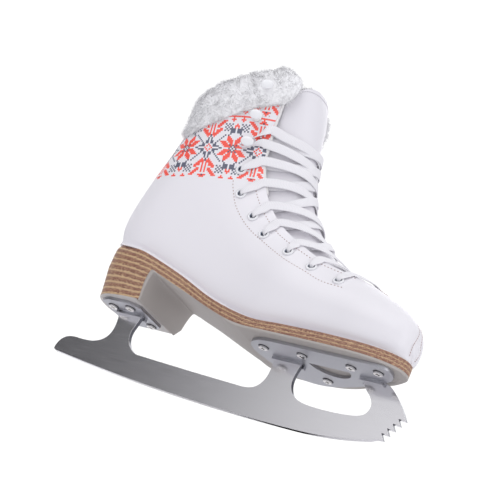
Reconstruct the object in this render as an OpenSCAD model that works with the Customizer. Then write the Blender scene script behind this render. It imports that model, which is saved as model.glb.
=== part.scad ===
// Figure skate, left foot: a stitched boot on a stacked sole and heel, with a
// screwed-on steel blade. +X points to the toe, +Z up, and the inner side of
// the foot is -Y. The origin is the blade's contact point on the ice, in the
// blade's middle plane.

/* [Blade] */
// Thickness of the blade
blade_t = 4; // [3:0.1:4.5]
// Thickness of the toe and heel mounting plates
plate_t = 2.5; // [2:0.1:3]
// Radius of the main rocker along the blade
rocker_r = 1750; // [1600:10:2400]
// Radius of the short rocker under the toes
spin_rocker_r = 270; // [240:5:320]
// Number of teeth on the toe pick
pick_teeth = 5; // [4:1:5]

/* [Screws] */
// Diameter of a plate screw's head
screw_head_d = 7; // [6:0.1:7.4]
// Height of a plate screw's head
screw_head_h = 1.6; // [1:0.1:2]
// Diameter of a plate screw's shank
screw_d = 3.6; // [3:0.1:4]
// Length of a plate screw below its head
screw_len = 9; // [7:0.5:10]

/* [Boot] */
// Thickness of the upper's leather
leather_t = 2; // [1.4:0.1:2]
// Thickness of the plush lining
lining_t = 2.8; // [2:0.1:3]
// Thickness of the tongue's leather
tongue_leather_t = 1.6; // [1:0.1:1.6]
// Thickness of the tongue's padding
tongue_pad_t = 5; // [3:0.5:6]
// How far the fur collar stands out from the leather
fur_t = 7.5; // [5:0.5:12]

/* [Heel] */
// Number of lifts in the heel stack
lift_count = 4; // [4:1:4]
// Thickness of the heel's top piece, the layer that carries the plate
top_piece_t = 3; // [2:0.5:3.5]

/* [Lacing] */
// Width of the flat lace
lace_w = 7.6; // [6:0.2:8]
// Thickness of the flat lace
lace_t = 1.1; // [0.8:0.1:1.2]
// Radius of an eyelet's hole
eyelet_hole_r = 2.4; // [2.3:0.1:2.6]
// Outer radius of an eyelet's flange
eyelet_flange_r = 4.2; // [4:0.1:4.8]
// Radius of a lace hook's head
hook_head_r = 4.8; // [4:0.1:5.2]

/* [Hidden] */
$fn = 48;
INNER = -1;
OUTER = 1;
BIG = 400;

// ---- Helpers ---------------------------------------------------------------

function smooth(t) = let (u = min(max(t, 0), 1)) u * u * (3 - 2 * u);
function lerp(a, b, t) = a + (b - a) * t;
function unit(v) = v / norm(v);
function sgnpow(v, e) = v <= 0 ? 0 : pow(v, e);
function flat(rows) = [for (row = rows) for (p = row) p];

// Catmull-Rom value of row list p at s, where whole numbers are the rows.
function row_at(p, i) =
    i < 0 ? 2 * p[0] - p[1]
    : i >= len(p) ? 2 * p[len(p) - 1] - p[len(p) - 2]
    : p[i];
function curve(p, s) =
    let (i = min(max(floor(s), 0), len(p) - 2),
         t = min(max(s - i, 0), 1),
         a = row_at(p, i - 1), b = p[i], c = p[i + 1], d = row_at(p, i + 2))
    0.5 * (2 * b + (c - a) * t + (2 * a - 5 * b + 4 * c - d) * t * t
        + (3 * b - a - 3 * c + d) * t * t * t);
// Points along an open curve through p, n steps to each stretch.
function trace(p, n) = [for (k = [0:n * (len(p) - 1)]) curve(p, k / n)];
// Points along a closed curve through p.
function closed(p, n) =
    let (m = len(p),
         q = concat([p[m - 1]], p, [p[0], p[1]]))
    [for (k = [0:n * m - 1]) curve(q, 1 + k / n)];

// A solid from closed rings of points. Every ring has the same even number of
// points, and points k and n-1-k lie opposite each other.
module loft(rings, flip = false) {
    n = len(rings[0]);
    m = len(rings);
    side = [for (i = [0:m - 2]) for (k = [0:n - 1])
        let (a = i * n + k, b = i * n + (k + 1) % n)
        each [[a, b, b + n], [a, b + n, a + n]]];
    first = [for (k = [0:n / 2 - 2])
        each [[k, n - 1 - k, n - 2 - k], [k, n - 2 - k, k + 1]]];
    e = (m - 1) * n;
    last = [for (k = [0:n / 2 - 2])
        each [[e + k, e + n - 2 - k, e + n - 1 - k], [e + k, e + k + 1, e + n - 2 - k]]];
    faces = concat(side, first, last);
    polyhedron(flat(rings), flip ? [for (f = faces) [f[2], f[1], f[0]]] : faces);
}

// ---- The last: the outer shape of the boot ----------------------------------

// One row for each station from the toe tip, round the heel and up the shaft:
// bottom or back point x, z; top or front point x, z; half width; height of the
// widest point as a share; lower and upper roundness; sideways centre.
STATIONS = [
    [84, 66, 84, 78, 6, 0.50, 2.0, 2.0, -20],
    [81, 62.5, 82, 86, 14, 0.44, 3.0, 2.0, -19],
    [74, 62, 76, 93, 21, 0.42, 4.0, 2.0, -18],
    [60, 62, 64, 101, 27, 0.40, 4.5, 2.0, -15],
    [40, 62, 45, 110, 34, 0.38, 5.0, 2.0, -9],
    [16, 62, 22, 120, 40, 0.37, 5.0, 2.0, -2],
    [-14, 61.5, -6, 132, 43, 0.36, 5.0, 1.9, 1],
    [-42, 61.5, -26, 147, 41, 0.36, 5.5, 1.85, 0],
    [-78, 70, -42, 164, 37, 0.36, 7.0, 1.85, 0],
    [-114, 84, -53, 181, 35, 0.38, 9.0, 1.9, 0],
    [-152, 96, -59, 197, 35, 0.40, 8.0, 2.0, 0],
    [-184, 103, -63, 211, 36, 0.42, 4.5, 2.1, 0],
    [-193, 120, -66, 224, 37, 0.44, 3.0, 2.2, 0],
    [-190, 150, -69, 237, 38, 0.46, 2.5, 2.3, 0],
    [-183, 180, -73, 251, 39, 0.48, 2.3, 2.4, 0],
    [-178, 207, -78, 264, 40, 0.50, 2.3, 2.4, 0],
    [-179, 232, -84, 277, 41, 0.50, 2.3, 2.4, 0],
    [-182, 256, -91, 290, 42, 0.50, 2.3, 2.4, 0]];
// Depth over which an inner layer also steps back from the toe tip
TOE_STEP = 1.5;

// A point of the last. side is INNER or OUTER, s the station, th the angle
// round the section in radians (0 bottom or back, PI top or front), off the
// depth below the surface, gap the least distance from the centre plane.
function on_last(side, s, th, off = 0, gap = 0) =
    let (q = curve(STATIONS, s),
         b0 = [q[0], q[1]], t0 = [q[2], q[3]],
         d = unit(t0 - b0),
         b = b0 + d * off, t = t0 - d * off,
         deg = min(max(th, 0), PI) * 180 / PI,
         c = cos(deg), m = q[5],
         share = c > 0 ? m - m * pow(c, 2 / q[6])
                       : m + (1 - m) * sgnpow(-c, 2 / q[7]),
         across = max(gap, (q[4] - off) * sgnpow(sin(deg), 2 / (c > 0 ? q[6] : q[7]))),
         p = b + (t - b) * share)
    [p[0] - off * max(0, 1 - s / TOE_STEP), side * across + q[8], p[1]];
// The same point from a signed angle, whose sign is the side.
function at_angle(s, a, off = 0) = on_last(a < 0 ? INNER : OUTER, s, abs(a), off);
// Outward normal and the direction of growing s at a point of the last.
function along(side, s, th, off = 0) =
    unit(on_last(side, s + 0.05, th, off) - on_last(side, s - 0.05, th, off));
function normal(side, s, th) =
    let (v = on_last(side, s, th + 0.04) - on_last(side, s, th - 0.04))
    unit(cross(along(side, s, th), v)) * (side == INNER ? -1 : 1);

// Where the throat opens: the angle of the facing's front edge at each station
EDGE_ANGLE = [PI, PI, PI, PI, PI, 2.66, 2.44, 2.33, 2.24, 2.19, 2.19, 2.21,
    2.21, 2.18, 2.17, 2.15, 2.12, 2.1];
THROAT_S = 4.5;
function edge_angle(s) =
    s <= THROAT_S ? PI
    : s < 5 ? PI - (PI - EDGE_ANGLE[5]) * sqrt((s - THROAT_S) / (5 - THROAT_S))
    : curve(EDGE_ANGLE, s);

TOP_S = 15.9;
SEAM_GAP = 0.05;

// Half of a shell around the last between two depths, from angle lo(s) to hi(s).
module half_shell(side, s0, s1, steps, lo, hi, out, in, cols) {
    rings = [for (i = [0:steps])
        let (s = lerp(s0, s1, i / steps), a = lo(s), b = hi(s))
        concat(
            [for (k = [0:cols]) on_last(side, s, lerp(a, b, k / cols), out, SEAM_GAP)],
            [for (k = [cols:-1:0]) on_last(side, s, lerp(a, b, k / cols), in, SEAM_GAP)])];
    loft(rings, side == INNER);
}
// A shell over the front ridge, reaching reach(s) to each side of it.
module ridge_shell(s0, s1, steps, reach, out, in, cols) {
    rings = [for (i = [0:steps])
        let (s = lerp(s0, s1, i / steps), r = reach(s),
             angles = [for (k = [0:cols]) lerp(-r, r, k / cols)])
        concat(
            [for (a = angles) on_ridge(s, a, out(s, a))],
            [for (k = [cols:-1:0]) on_ridge(s, angles[k], in(s, angles[k]))])];
    loft(rings, true);
}
function on_ridge(s, a, off) = on_last(a < 0 ? INNER : OUTER, s, PI - abs(a), off);

// ---- Blade -----------------------------------------------------------------

TOE_PLATE_Z = 49.5;
HEEL_PLATE_Z = 57;
SOLE_Z = TOE_PLATE_Z + plate_t;
HEEL_Z = HEEL_PLATE_Z + plate_t;
ROCKER_X = 8;
TAIL_X = -216;
SPIN_END_X = 66;
PICK_START = [72.5, 9];
PICK_LOW = [78, 8];
PICK_HIGH = [87.6, 26.2];
NOTCH = [-2.6, 1.2];

function rocker_z(x) =
    x < ROCKER_X ? rocker_r - sqrt(rocker_r ^ 2 - (x - ROCKER_X) ^ 2)
    : spin_rocker_r - sqrt(spin_rocker_r ^ 2 - (x - ROCKER_X) ^ 2);
rocker_line = concat(
    [for (k = [0:14]) let (x = lerp(TAIL_X, ROCKER_X, k / 14)) [x, rocker_z(x)]],
    [for (k = [1:8]) let (x = lerp(ROCKER_X, SPIN_END_X, k / 8)) [x, rocker_z(x)]]);
pick_line = [for (k = [0:pick_teeth - 1])
    let (tip = lerp(PICK_LOW, PICK_HIGH, k / (pick_teeth - 1)))
    each [tip + NOTCH, tip]];
front_edge = trace([[84, 31.5], [77, 39.5], [69, 46.5], [62.5, 50], [60, TOE_PLATE_Z]], 2);
arch = trace([[42, TOE_PLATE_Z], [48, 42.5], [54, 37.2], [57.4, 31], [55.5, 24.5],
    [49, 21.3], [36, 19.9], [20, 19.6], [4, 20.9], [-5, 25], [-9.4, 31.5],
    [-10.3, 39.5], [-8.5, TOE_PLATE_Z]], 3);
long_gap = trace([[-31.5, TOE_PLATE_Z], [-31, 40], [-32.4, 31.5], [-37, 25], [-45, 22.3],
    [-60, 22.6], [-100, 24.2], [-138, 26], [-147, 27], [-153.5, 31.3], [-157, 36.5],
    [-158, 43], [-156.2, 51], [-154.5, HEEL_PLATE_Z]], 3);
tail = trace([[-175.5, HEEL_PLATE_Z], [-174, 46], [-175.2, 38], [-179.5, 32.3], [-187, 29],
    [-196, 28.3], [-205, 28.6], [-211.5, 27.3], [-216, 23.4], [-218, 18.5], [-218.2, 15.5]], 3);

module blade() {
    color("silver")
        rotate([90, 0, 0])
            linear_extrude(blade_t, center = true)
                polygon(concat(rocker_line, [PICK_START], pick_line, front_edge, arch,
                    long_gap, tail));
}

// Plate outlines seen from above, inner side first.
toe_plate_outline = closed([[-44, -20], [-38, -28], [-28, -33.5], [-10, -34.5], [20, -34.5],
    [50, -34.5], [68, -34], [75, -29], [75, -20], [68, -8], [52, 4], [36, 16], [8, 31.5],
    [-10, 36.5], [-26, 33], [-37, 22], [-44, 4], [-46, -9]], 3);
TOE_SCREWS = [[-33, -19.7], [0.4, -21.3], [40.8, -20.2], [3.8, 21.3], [-33, 19], [64, -22]];
HEEL_SCREWS = [[-176.5, -10.7], [-158.9, -14.5], [-155.6, 16], [-176.5, 11]];
HEEL_PLATE_LEN = 42;
HEEL_PLATE_W = 46;
HEEL_PLATE_X = -166;
// Half-moon opening in the toe plate: the middle of its straight side, and radius
MOON_AT = [17, -7.5];
MOON_R = 17;

module screw_holes(places, z, depth, d) {
    for (p = places)
        translate([p[0], p[1], z]) cylinder(h = depth, d = d);
}
module plate_socket(x0, x1, z) {
    // raised pad that holds the top of a stanchion, cut through for the blade
    w = 11;
    h = 2.4;
    difference() {
        translate([x0 - 3, -w / 2, z - h]) cube([x1 - x0 + 6, w, h]);
        translate([x0 - 4, -blade_t / 2, z - h - 1]) cube([x1 - x0 + 8, blade_t, h + 2]);
    }
}
module toe_plate() {
    color("lightsteelblue") {
        difference() {
            translate([0, 0, TOE_PLATE_Z])
                linear_extrude(plate_t) polygon(toe_plate_outline);
            screw_holes(TOE_SCREWS, TOE_PLATE_Z - 1, plate_t + 2, screw_d);
            translate([MOON_AT[0], MOON_AT[1], TOE_PLATE_Z - 1])
                linear_extrude(plate_t + 2)
                    intersection() {
                        circle(r = MOON_R);
                        translate([-MOON_R, 0]) square([2 * MOON_R, MOON_R]);
                    }
        }
        plate_socket(-29, -11, TOE_PLATE_Z);
        plate_socket(45, 58, TOE_PLATE_Z);
    }
}
module heel_plate() {
    color("lightsteelblue") {
        difference() {
            translate([HEEL_PLATE_X, 0, HEEL_PLATE_Z]) linear_extrude(plate_t)
                intersection() {
                    square([HEEL_PLATE_LEN - 6, HEEL_PLATE_W], center = true);
                    circle(r = 24.5);
                }
            screw_holes(HEEL_SCREWS, HEEL_PLATE_Z - 1, plate_t + 2, screw_d);
        }
        plate_socket(-173, -157, HEEL_PLATE_Z);
    }
}
module screw(x, y, z) {
    cross_w = 1;
    cross_len = 4;
    cross_depth = 1;
    translate([x, y, z]) {
        cylinder(h = screw_len, d = screw_d);
        difference() {
            translate([0, 0, -screw_head_h]) cylinder(h = screw_head_h, d = screw_head_d);
            for (a = [0, 90])
                rotate([0, 0, a])
                    translate([-cross_len / 2, -cross_w / 2, -screw_head_h - 1])
                        cube([cross_len, cross_w, cross_depth + 1]);
        }
    }
}
module toe_plate_screws() {
    color("gainsboro") for (p = TOE_SCREWS) screw(p[0], p[1], TOE_PLATE_Z);
}
module heel_plate_screws() {
    color("gainsboro") for (p = HEEL_SCREWS) screw(p[0], p[1], HEEL_PLATE_Z);
}

// ---- Sole and heel -----------------------------------------------------------

// Edge of the sole from above: straight along the inner side, curved outside.
sole_outline = closed([[-193, 0], [-190, -17], [-180, -29], [-160, -35], [-130, -36],
    [-100, -37], [-72, -39.5], [-40, -42.5], [0, -43.5], [35, -43], [58, -40.5], [74, -34.5],
    [83, -25], [83, -13], [75, -3], [62, 8], [45, 19], [22, 34], [0, 42.5], [-25, 44],
    [-50, 41], [-80, 37], [-120, 35.5], [-160, 35], [-180, 29], [-190, 17]], 3);
BOARD_INSET = 12;
CLEAR = 0.2;
TOE_FEATHER_Z = 62;
// The sole's top line, where the leather meets it, and its lower line, rear to toe. At
// the toe the last's own tip rises, and the sole's top does not
sole_top = concat([[-196, 105.2]],
    [for (k = [22:-1:4]) let (q = curve(STATIONS, k / 2)) [q[0], q[1] - CLEAR]],
    [[95, TOE_FEATHER_Z - CLEAR]]);
sole_under = trace([[-196, 94.5], [-170, 91], [-138, 82.4], [-120, 76.5], [-103, 71],
    [-86, 65], [-73, 60.7], [-58, 56.5], [-42, 54.2], [-20, 54], [30, 54], [95, 54]], 2);
function z_on(line, x, i = 0) =
    i >= len(line) - 2 || x <= line[i + 1][0]
    ? lerp(line[i][1], line[i + 1][1], (x - line[i][0]) / (line[i + 1][0] - line[i][0]))
    : z_on(line, x, i + 1);
BAND_X = [for (k = [0:24]) lerp(-196, 95, k / 24)];
// A layer between two heights given as functions of x, inside the sole's edge
module layer(low, high, outline = sole_outline) {
    intersection() {
        translate([0, 0, SOLE_Z - 1]) linear_extrude(80) polygon(outline);
        rotate([90, 0, 0]) linear_extrude(120, center = true)
            polygon(concat([for (x = BAND_X) [x, low(x)]],
                [for (k = [len(BAND_X) - 1:-1:0]) [BAND_X[k], high(BAND_X[k])]]));
    }
}
top_z = function (x) z_on(sole_top, x);
under_z = function (x) z_on(sole_under, x);
mid_z = function (x) lerp(z_on(sole_under, x), z_on(sole_top, x), 0.5);

BREAST_X = -143;
BREAST_T = 3;
BREAST_TOP = [-138, 82.4];
shank_under = trace([[-138, 79], [-120, 71], [-100, 63.5], [-80, 57.5], [-62, 53.5], [-48, SOLE_Z]], 2);
module outsole() {
    // walking sole, shank cover and heel breast in one piece
    profile = concat(
        [[BREAST_X, HEEL_Z], [BREAST_X - BREAST_T, HEEL_Z],
         [BREAST_TOP[0] - BREAST_T, BREAST_TOP[1] + 0.5]],
        [for (x = BAND_X) if (x > BREAST_TOP[0] + 1) [x, under_z(x)]],
        [[95, SOLE_Z]],
        [for (k = [len(shank_under) - 1:-1:0]) shank_under[k]]);
    color("tan") difference() {
        intersection() {
            translate([0, 0, SOLE_Z - 1]) linear_extrude(80) polygon(sole_outline);
            rotate([90, 0, 0]) linear_extrude(120, center = true) polygon(profile);
        }
        screw_holes(TOE_SCREWS, TOE_PLATE_Z, 12, screw_d);
    }
}

// Heel outline scaled about its own middle: 1 at the sole, smaller at the ground
HEEL_MID = [-166, 0];
LIFT_SCALE_LOW = 0.86;
LIFT_Z0 = HEEL_Z + top_piece_t;
LIFT_Z1 = 82;
LIFT_H = (LIFT_Z1 - LIFT_Z0) / lift_count;
module heel_slab(z, h, k) {
    // D-shaped slab behind the breast
    intersection() {
        translate([HEEL_MID[0], 0, z]) linear_extrude(h)
            scale([lerp(1, k, 0.4), k]) translate([-HEEL_MID[0], 0]) polygon(sole_outline);
        translate([-BIG, -BIG / 2, z]) cube([BIG + BREAST_X - BREAST_T, BIG, h]);
    }
}
module lift(i) {
    z = LIFT_Z0 + i * LIFT_H;
    color(i % 2 == 0 ? "sienna" : "chocolate") difference() {
        heel_slab(z, LIFT_H, lerp(LIFT_SCALE_LOW, 1, (i + 1) / (lift_count + 1)));
        if (z < HEEL_PLATE_Z + screw_len)
            screw_holes(HEEL_SCREWS, HEEL_PLATE_Z, screw_len, screw_d);
    }
}
module heel_lift_1() { lift(0); }
module heel_lift_2() { lift(1); }
module heel_lift_3() { lift(2); }
module heel_lift_4() { lift(3); }
module heel_top_piece() {
    color("lightgray") difference() {
        heel_slab(HEEL_Z, top_piece_t, LIFT_SCALE_LOW);
        screw_holes(HEEL_SCREWS, HEEL_PLATE_Z, screw_len, screw_d);
    }
}
module heel_wedge() {
    color("peru") intersection() {
        translate([0, 0, LIFT_Z1]) linear_extrude(30) polygon(sole_outline);
        rotate([90, 0, 0]) linear_extrude(120, center = true)
            polygon([[-196, LIFT_Z1], [BREAST_TOP[0] - BREAST_T - 1, LIFT_Z1],
                for (k = [len(BAND_X) - 1:-1:0])
                    if (BAND_X[k] < BREAST_TOP[0] - BREAST_T - 1) [BAND_X[k], under_z(BAND_X[k])]]);
    }
}
module midsole_lower() {
    color("sienna") difference() {
        layer(under_z, mid_z);
        screw_holes(TOE_SCREWS, TOE_PLATE_Z, screw_len, screw_d);
    }
}
SHANK_FROM = -165;
SHANK_TO = -30;
SHANK_W = 16;
SHANK_T = 1.5;
module shank_bar() {
    // spring steel strip let into the upper midsole
    xs = [for (x = BAND_X) if (x > SHANK_FROM && x < SHANK_TO) x];
    rotate([90, 0, 0]) linear_extrude(SHANK_W, center = true)
        polygon(concat([for (x = xs) [x, mid_z(x)]],
            [for (k = [len(xs) - 1:-1:0]) [xs[k], mid_z(xs[k]) + SHANK_T]]));
}
module midsole_upper() {
    color("peru") difference() {
        layer(mid_z, top_z);
        shank_bar();
        screw_holes(TOE_SCREWS, TOE_PLATE_Z, screw_len, screw_d);
    }
}
module shank() { color("slategray") shank_bar(); }

// Board and footbed lie inside the upper, above its turned-in edge
inner_outline = [for (p = sole_outline)
    let (c = p[0] > 30 ? [30, -10] : p[0] < -150 ? [-150, 0] : [p[0], 0],
         v = p - c, r = norm(v))
    c + v * max(0.2, (r - BOARD_INSET) / r)];
BOARD_T = 2;
FOOTBED_T = 3;
// Height of the board above the turned-in leather, clear of its rounded corner
BOARD_LIFT = 3;
board_low = function (x) top_z(x) + CLEAR + leather_t + BOARD_LIFT;
board_high = function (x) board_low(x) + BOARD_T;
footbed_high = function (x) board_high(x) + FOOTBED_T;
module inner_layer(low, high, x0, x1) {
    intersection() {
        layer(low, high, inner_outline);
        translate([x0, -BIG / 2, 0]) cube([x1 - x0, BIG, BIG]);
    }
}
module insole_board() { color("burlywood") inner_layer(board_low, board_high, -172, 68); }
module footbed() { color("whitesmoke") inner_layer(board_high, footbed_high, -168, 60); }

// ---- Upper -------------------------------------------------------------------

// The turned-in lower edge: flat under the foot, closing to the back seam
LAST_EDGE = 0.42;
low_angle = function (s) LAST_EDGE * smooth((11.7 - s) / 0.9);
edge_angle_at = function (s) edge_angle(s);
EYELETS = [[5.28, 2.16], [6.19, 2.14], [7.21, 2.08], [8.28, 1.97], [9.05, 1.95],
    [10.07, 1.93], [11.19, 1.99]];
HOOKS = [[12.44, 1.97], [13.63, 1.91], [15.02, 1.90]];
RIVET_R = 1.5;
BARREL_T = 0.5;
EYELET_R = eyelet_hole_r + BARREL_T;

module at_place(side, place) {
    // moves children onto the surface with +Z along the outward normal
    n = normal(side, place[0], place[1]);
    translate(on_last(side, place[0], place[1]))
        rotate([0, acos(n[2]), atan2(n[1], n[0])]) children();
}
module fastener_holes(side) {
    for (e = EYELETS) at_place(side, e) translate([0, 0, -6]) cylinder(h = 9, r = EYELET_R);
    for (h = HOOKS) at_place(side, h) translate([0, 0, -6]) cylinder(h = 9, r = RIVET_R);
}
module toe_tip(side) {
    // closes the shell at the toe, up to the seam on the centre line
    tip = [for (k = [0:8]) on_last(side, 0, PI * k / 8, 0, 2 * SEAM_GAP)];
    x = tip[0][0];
    translate([x - leather_t, 0, 0]) rotate([90, 0, 90]) linear_extrude(leather_t - 0.2)
        polygon([for (p = tip) [p[1], p[2]]]);
}
module quarter(side) {
    difference() {
        half_shell(side, 0, TOP_S, 36, low_angle, edge_angle_at, 0, leather_t, 13);
        fastener_holes(side);
    }
    toe_tip(side);
}
module inner_quarter() { color("white") quarter(INNER); }
module outer_quarter() { color("white") quarter(OUTER); }

BACKSTAY_T = 1;
module backstay() {
    color("ghostwhite")
        back_shell(11.9, 13.9, 12, 0.42, -CLEAR - BACKSTAY_T, -CLEAR, 6);
}
// A shell round the back, reaching the given angle to each side
module back_shell(s0, s1, steps, reach, out, in, cols) {
    rings = [for (i = [0:steps])
        let (s = lerp(s0, s1, i / steps))
        concat(
            [for (k = [0:cols]) at_angle(s, lerp(-reach, reach, k / cols), out)],
            [for (k = [cols:-1:0]) at_angle(s, lerp(-reach, reach, k / cols), in)])];
    loft(rings);
}

// Facing: a strip under the quarter's front edge that carries the eyelets
FACING_OUT = leather_t + 0.45;
FACING_T = 0.8;
facing_lo = function (s) edge_angle(s) - 0.42;
facing_hi = function (s) edge_angle(s) - 0.02;
module facing(side) {
    difference() {
        half_shell(side, 5.1, TOP_S - 0.1, 28, facing_lo, facing_hi, FACING_OUT,
            FACING_OUT + FACING_T, 3);
        fastener_holes(side);
    }
}
module inner_facing() { color("snow") facing(INNER); }
module outer_facing() { color("snow") facing(OUTER); }

COUNTER_OUT = leather_t + 0.4;
COUNTER_T = 1;
module heel_counter() {
    color("wheat")
        back_shell(11.9, 13.5, 8, 1.5, COUNTER_OUT, COUNTER_OUT + COUNTER_T, 16);
}
puff_reach = function (s) 1.7;
module toe_puff() {
    color("wheat") ridge_shell(0.8, 3.3, 8, puff_reach,
        function (s, a) COUNTER_OUT, function (s, a) COUNTER_OUT + COUNTER_T, 16);
}

LINING_OUT = 4;
lining_lo = function (s) 0.9 * smooth((11.9 - s) / 1.2);
lining_hi = function (s)
    min(PI, edge_angle(s + 0.8) - 0.55 * smooth((s - 3.1) / 0.7));
module lining(side) {
    half_shell(side, 0.9, TOP_S, 34, lining_lo, lining_hi, LINING_OUT, LINING_OUT + lining_t, 8);
}
module inner_lining() { color("whitesmoke") lining(INNER); }
module outer_lining() { color("whitesmoke") lining(OUTER); }

// ---- Fur collar --------------------------------------------------------------

FUR_REACH = 2.16;
FUR_CLEAR = 0.4;
FUR_LOW_BACK = 14.95;
FUR_LOW_SIDE = 14.05;
// Station of the cuff's lower edge, which rises towards the back
function fur_low(a) = lerp(FUR_LOW_BACK, FUR_LOW_SIDE, smooth((abs(a) - 0.3) / 0.8));
// Points [s, off] round the cuff at angle a
function fur_section(a) =
    let (rest = -FUR_CLEAR, low = fur_low(a), top = TOP_S + 0.08)
    [[low, rest], [low - 0.08, -0.5 * fur_t], [lerp(low, top, 0.15), -0.93 * fur_t],
        [lerp(low, top, 0.5), -fur_t], [lerp(low, top, 0.85), -0.9 * fur_t],
        [top + 0.14, -0.5 * fur_t], [top + 0.27, 0], [top + 0.24, 4], [top + 0.12, 6],
        [top, 6.4], [top, 3], [top, rest], [lerp(low, top, 0.6), rest],
        [lerp(low, top, 0.3), rest]];
module fur_collar() {
    steps = 30;
    rings = [for (i = [0:steps])
        let (a = lerp(-FUR_REACH, FUR_REACH, i / steps))
        [for (p = fur_section(a)) at_angle(p[0], a, p[1])]];
    color("white") difference() {
        loft(rings, true);
        for (side = [INNER, OUTER])
            at_place(side, HOOKS[2]) translate([0, 0, -1]) cylinder(h = 20, r = hook_head_r + 1);
    }
}

// ---- Eyelets and hooks -------------------------------------------------------

EYELET_UNDER = FACING_OUT + FACING_T;
module eyelet() {
    flange_t = 0.7;
    difference() {
        union() {
            translate([0, 0, -EYELET_UNDER - 0.4]) cylinder(h = EYELET_UNDER + 0.8, r = EYELET_R);
            translate([0, 0, 0.3]) cylinder(h = flange_t, r = eyelet_flange_r);
        }
        translate([0, 0, -10]) cylinder(h = 20, r = eyelet_hole_r);
    }
}
module eyelets(side) { for (e = EYELETS) at_place(side, e) eyelet(); }
module inner_eyelets() { color("white") eyelets(INNER); }
module outer_eyelets() { color("white") eyelets(OUTER); }

HOOK_STAND = 4.5;
module hook() {
    base_t = 0.8;
    head_t = 1.4;
    shank_r = 1.5;
    translate([0, 0, -EYELET_UNDER - 0.5]) cylinder(h = EYELET_UNDER + 0.9, r = RIVET_R);
    translate([0, 0, 0.3]) cylinder(h = base_t, r = 3.6);
    translate([0, 0, 0.3]) cylinder(h = HOOK_STAND, r = shank_r);
    translate([0, 0, HOOK_STAND]) cylinder(h = head_t, r = hook_head_r);
}
module hooks(side) { for (h = HOOKS) at_place(side, h) hook(); }
module inner_hooks() { color("white") hooks(INNER); }
module outer_hooks() { color("white") hooks(OUTER); }

// ---- Tongue ------------------------------------------------------------------

TONGUE_S0 = 4.6;
TONGUE_S1 = 15.25;
TONGUE_DEEP = 6;
TONGUE_RIDGE = 4.5;
WING = 0.12;
TOP_WING = -0.04;
HINGE = [-68, 230];
FOLD_SLOPE = 25;
FOLD_BACK = 8;
FOLD_CLEAR = 0.6;
function throat(s) = PI - edge_angle(s);
// Depth of the tongue's face: shallow on the ridge, deeper under the facings
function tongue_depth(s, a) =
    TONGUE_DEEP - (TONGUE_DEEP - TONGUE_RIDGE) * smooth((throat(s) - abs(a)) / 0.5);
tongue_out = function (s, a) tongue_depth(s, a);
tongue_mid = function (s, a) tongue_depth(s, a) + tongue_leather_t;
pad_out = function (s, a) tongue_mid(s, a) + 0.3;
pad_in = function (s, a) pad_out(s, a) + tongue_pad_t;
lower_reach = function (s) max(0.45, throat(s) + WING);
top_reach = function (s) throat(s) + TOP_WING;

module above_fold(slope, lift) {
    translate([HINGE[0], 0, HINGE[1] + lift]) rotate([0, -slope, 0])
        translate([-BIG / 2, -BIG / 2, 0]) cube(BIG);
}
module tongue_lower_part(out, in) {
    difference() {
        ridge_shell(TONGUE_S0, 13.4, 26, lower_reach, out, in, 10);
        above_fold(FOLD_SLOPE, -FOLD_CLEAR / 2);
    }
}
module tongue_upper_part(out, in) {
    intersection() {
        ridge_shell(12, TONGUE_S1, 10, top_reach, out, in, 10);
        above_fold(FOLD_SLOPE - FOLD_BACK, FOLD_CLEAR / 2);
    }
}
module tongue() { color("white") tongue_lower_part(tongue_out, tongue_mid); }
module tongue_padding() { color("whitesmoke") tongue_lower_part(pad_out, pad_in); }
module tongue_top() { color("white") tongue_upper_part(tongue_out, tongue_mid); }
module tongue_top_padding() { color("whitesmoke") tongue_upper_part(pad_out, pad_in); }

// ---- Lace ----------------------------------------------------------------------

// Each row of the route: side, station, angle, depth, width, twist in degrees,
// and how it lies: 0 round the boot, 1 along the shaft, PLUMB where the depth
// is measured straight down from the surface, as in an eyelet.
PLUMB = -1;
OVER = -1;
UNDER = 4.2;
LOW_CROSS = TONGUE_RIDGE - lace_t / 2 - 1.4;
HIGH_CROSS = LOW_CROSS - lace_t - 0.15;
HOLE_W = 2.6;
// How far a strap dips towards the toe on its way across, for each eyelet pair
DIPS = [0.35, 0.7, 0.85, 0.8, 0.7, 1.0];
HOOK_DIP = 1.3;
BAR_DIP = 0.45;
HOOK_SPREAD = 0.33;
TUCK_S = 12.35;
STRAP_STEPS = 11;

// A strap across the throat from depth d0 at side a to depth d1 at side -a
function strap(a, s0, d0, s1, d1, ridge, dip, twist) =
    [for (k = [1:STRAP_STEPS - 1])
        let (u = k / STRAP_STEPS,
             s = lerp(s0, s1, u) - dip * 4 * u * (1 - u),
             near = u <= 0.5,
             r = throat(lerp(s0, s1, near ? 0 : 1)) * abs(1 - 2 * u),
             d = near ? lerp(ridge, d0, smooth(1 - 2 * u)) : lerp(ridge, d1, smooth(2 * u - 1)))
        [near ? a : -a, s, PI - r, d, lace_w, twist, 0]];
// Down through an eyelet from above the facing to below it
function through(side, i) =
    let (s = EYELETS[i][0], e = EYELETS[i][1], edge = edge_angle(s))
    [[side, s, edge - 0.01, OVER, lace_w, 0, 0],
     [side, s, lerp(e, edge, 0.62), OVER - 0.25, lace_w * 0.85, 0, 0],
     [side, s, e + 0.075, OVER - 0.95, 4, 0, PLUMB],
     [side, s, e + 0.02, OVER - 0.75, HOLE_W, 0, PLUMB],
     [side, s, e, 0, HOLE_W, 0, PLUMB],
     [side, s, e, 2.4, HOLE_W, 0, PLUMB],
     [side, s, e + 0.02, 4.2, HOLE_W, 0, PLUMB],
     [side, s, e + 0.075, 4.5, 4, 0, PLUMB],
     [side, s, lerp(e, edge, 0.62), 4.25, lace_w * 0.85, 0, 0],
     [side, s, edge - 0.01, UNDER, lace_w, 0, 0]];
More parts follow.
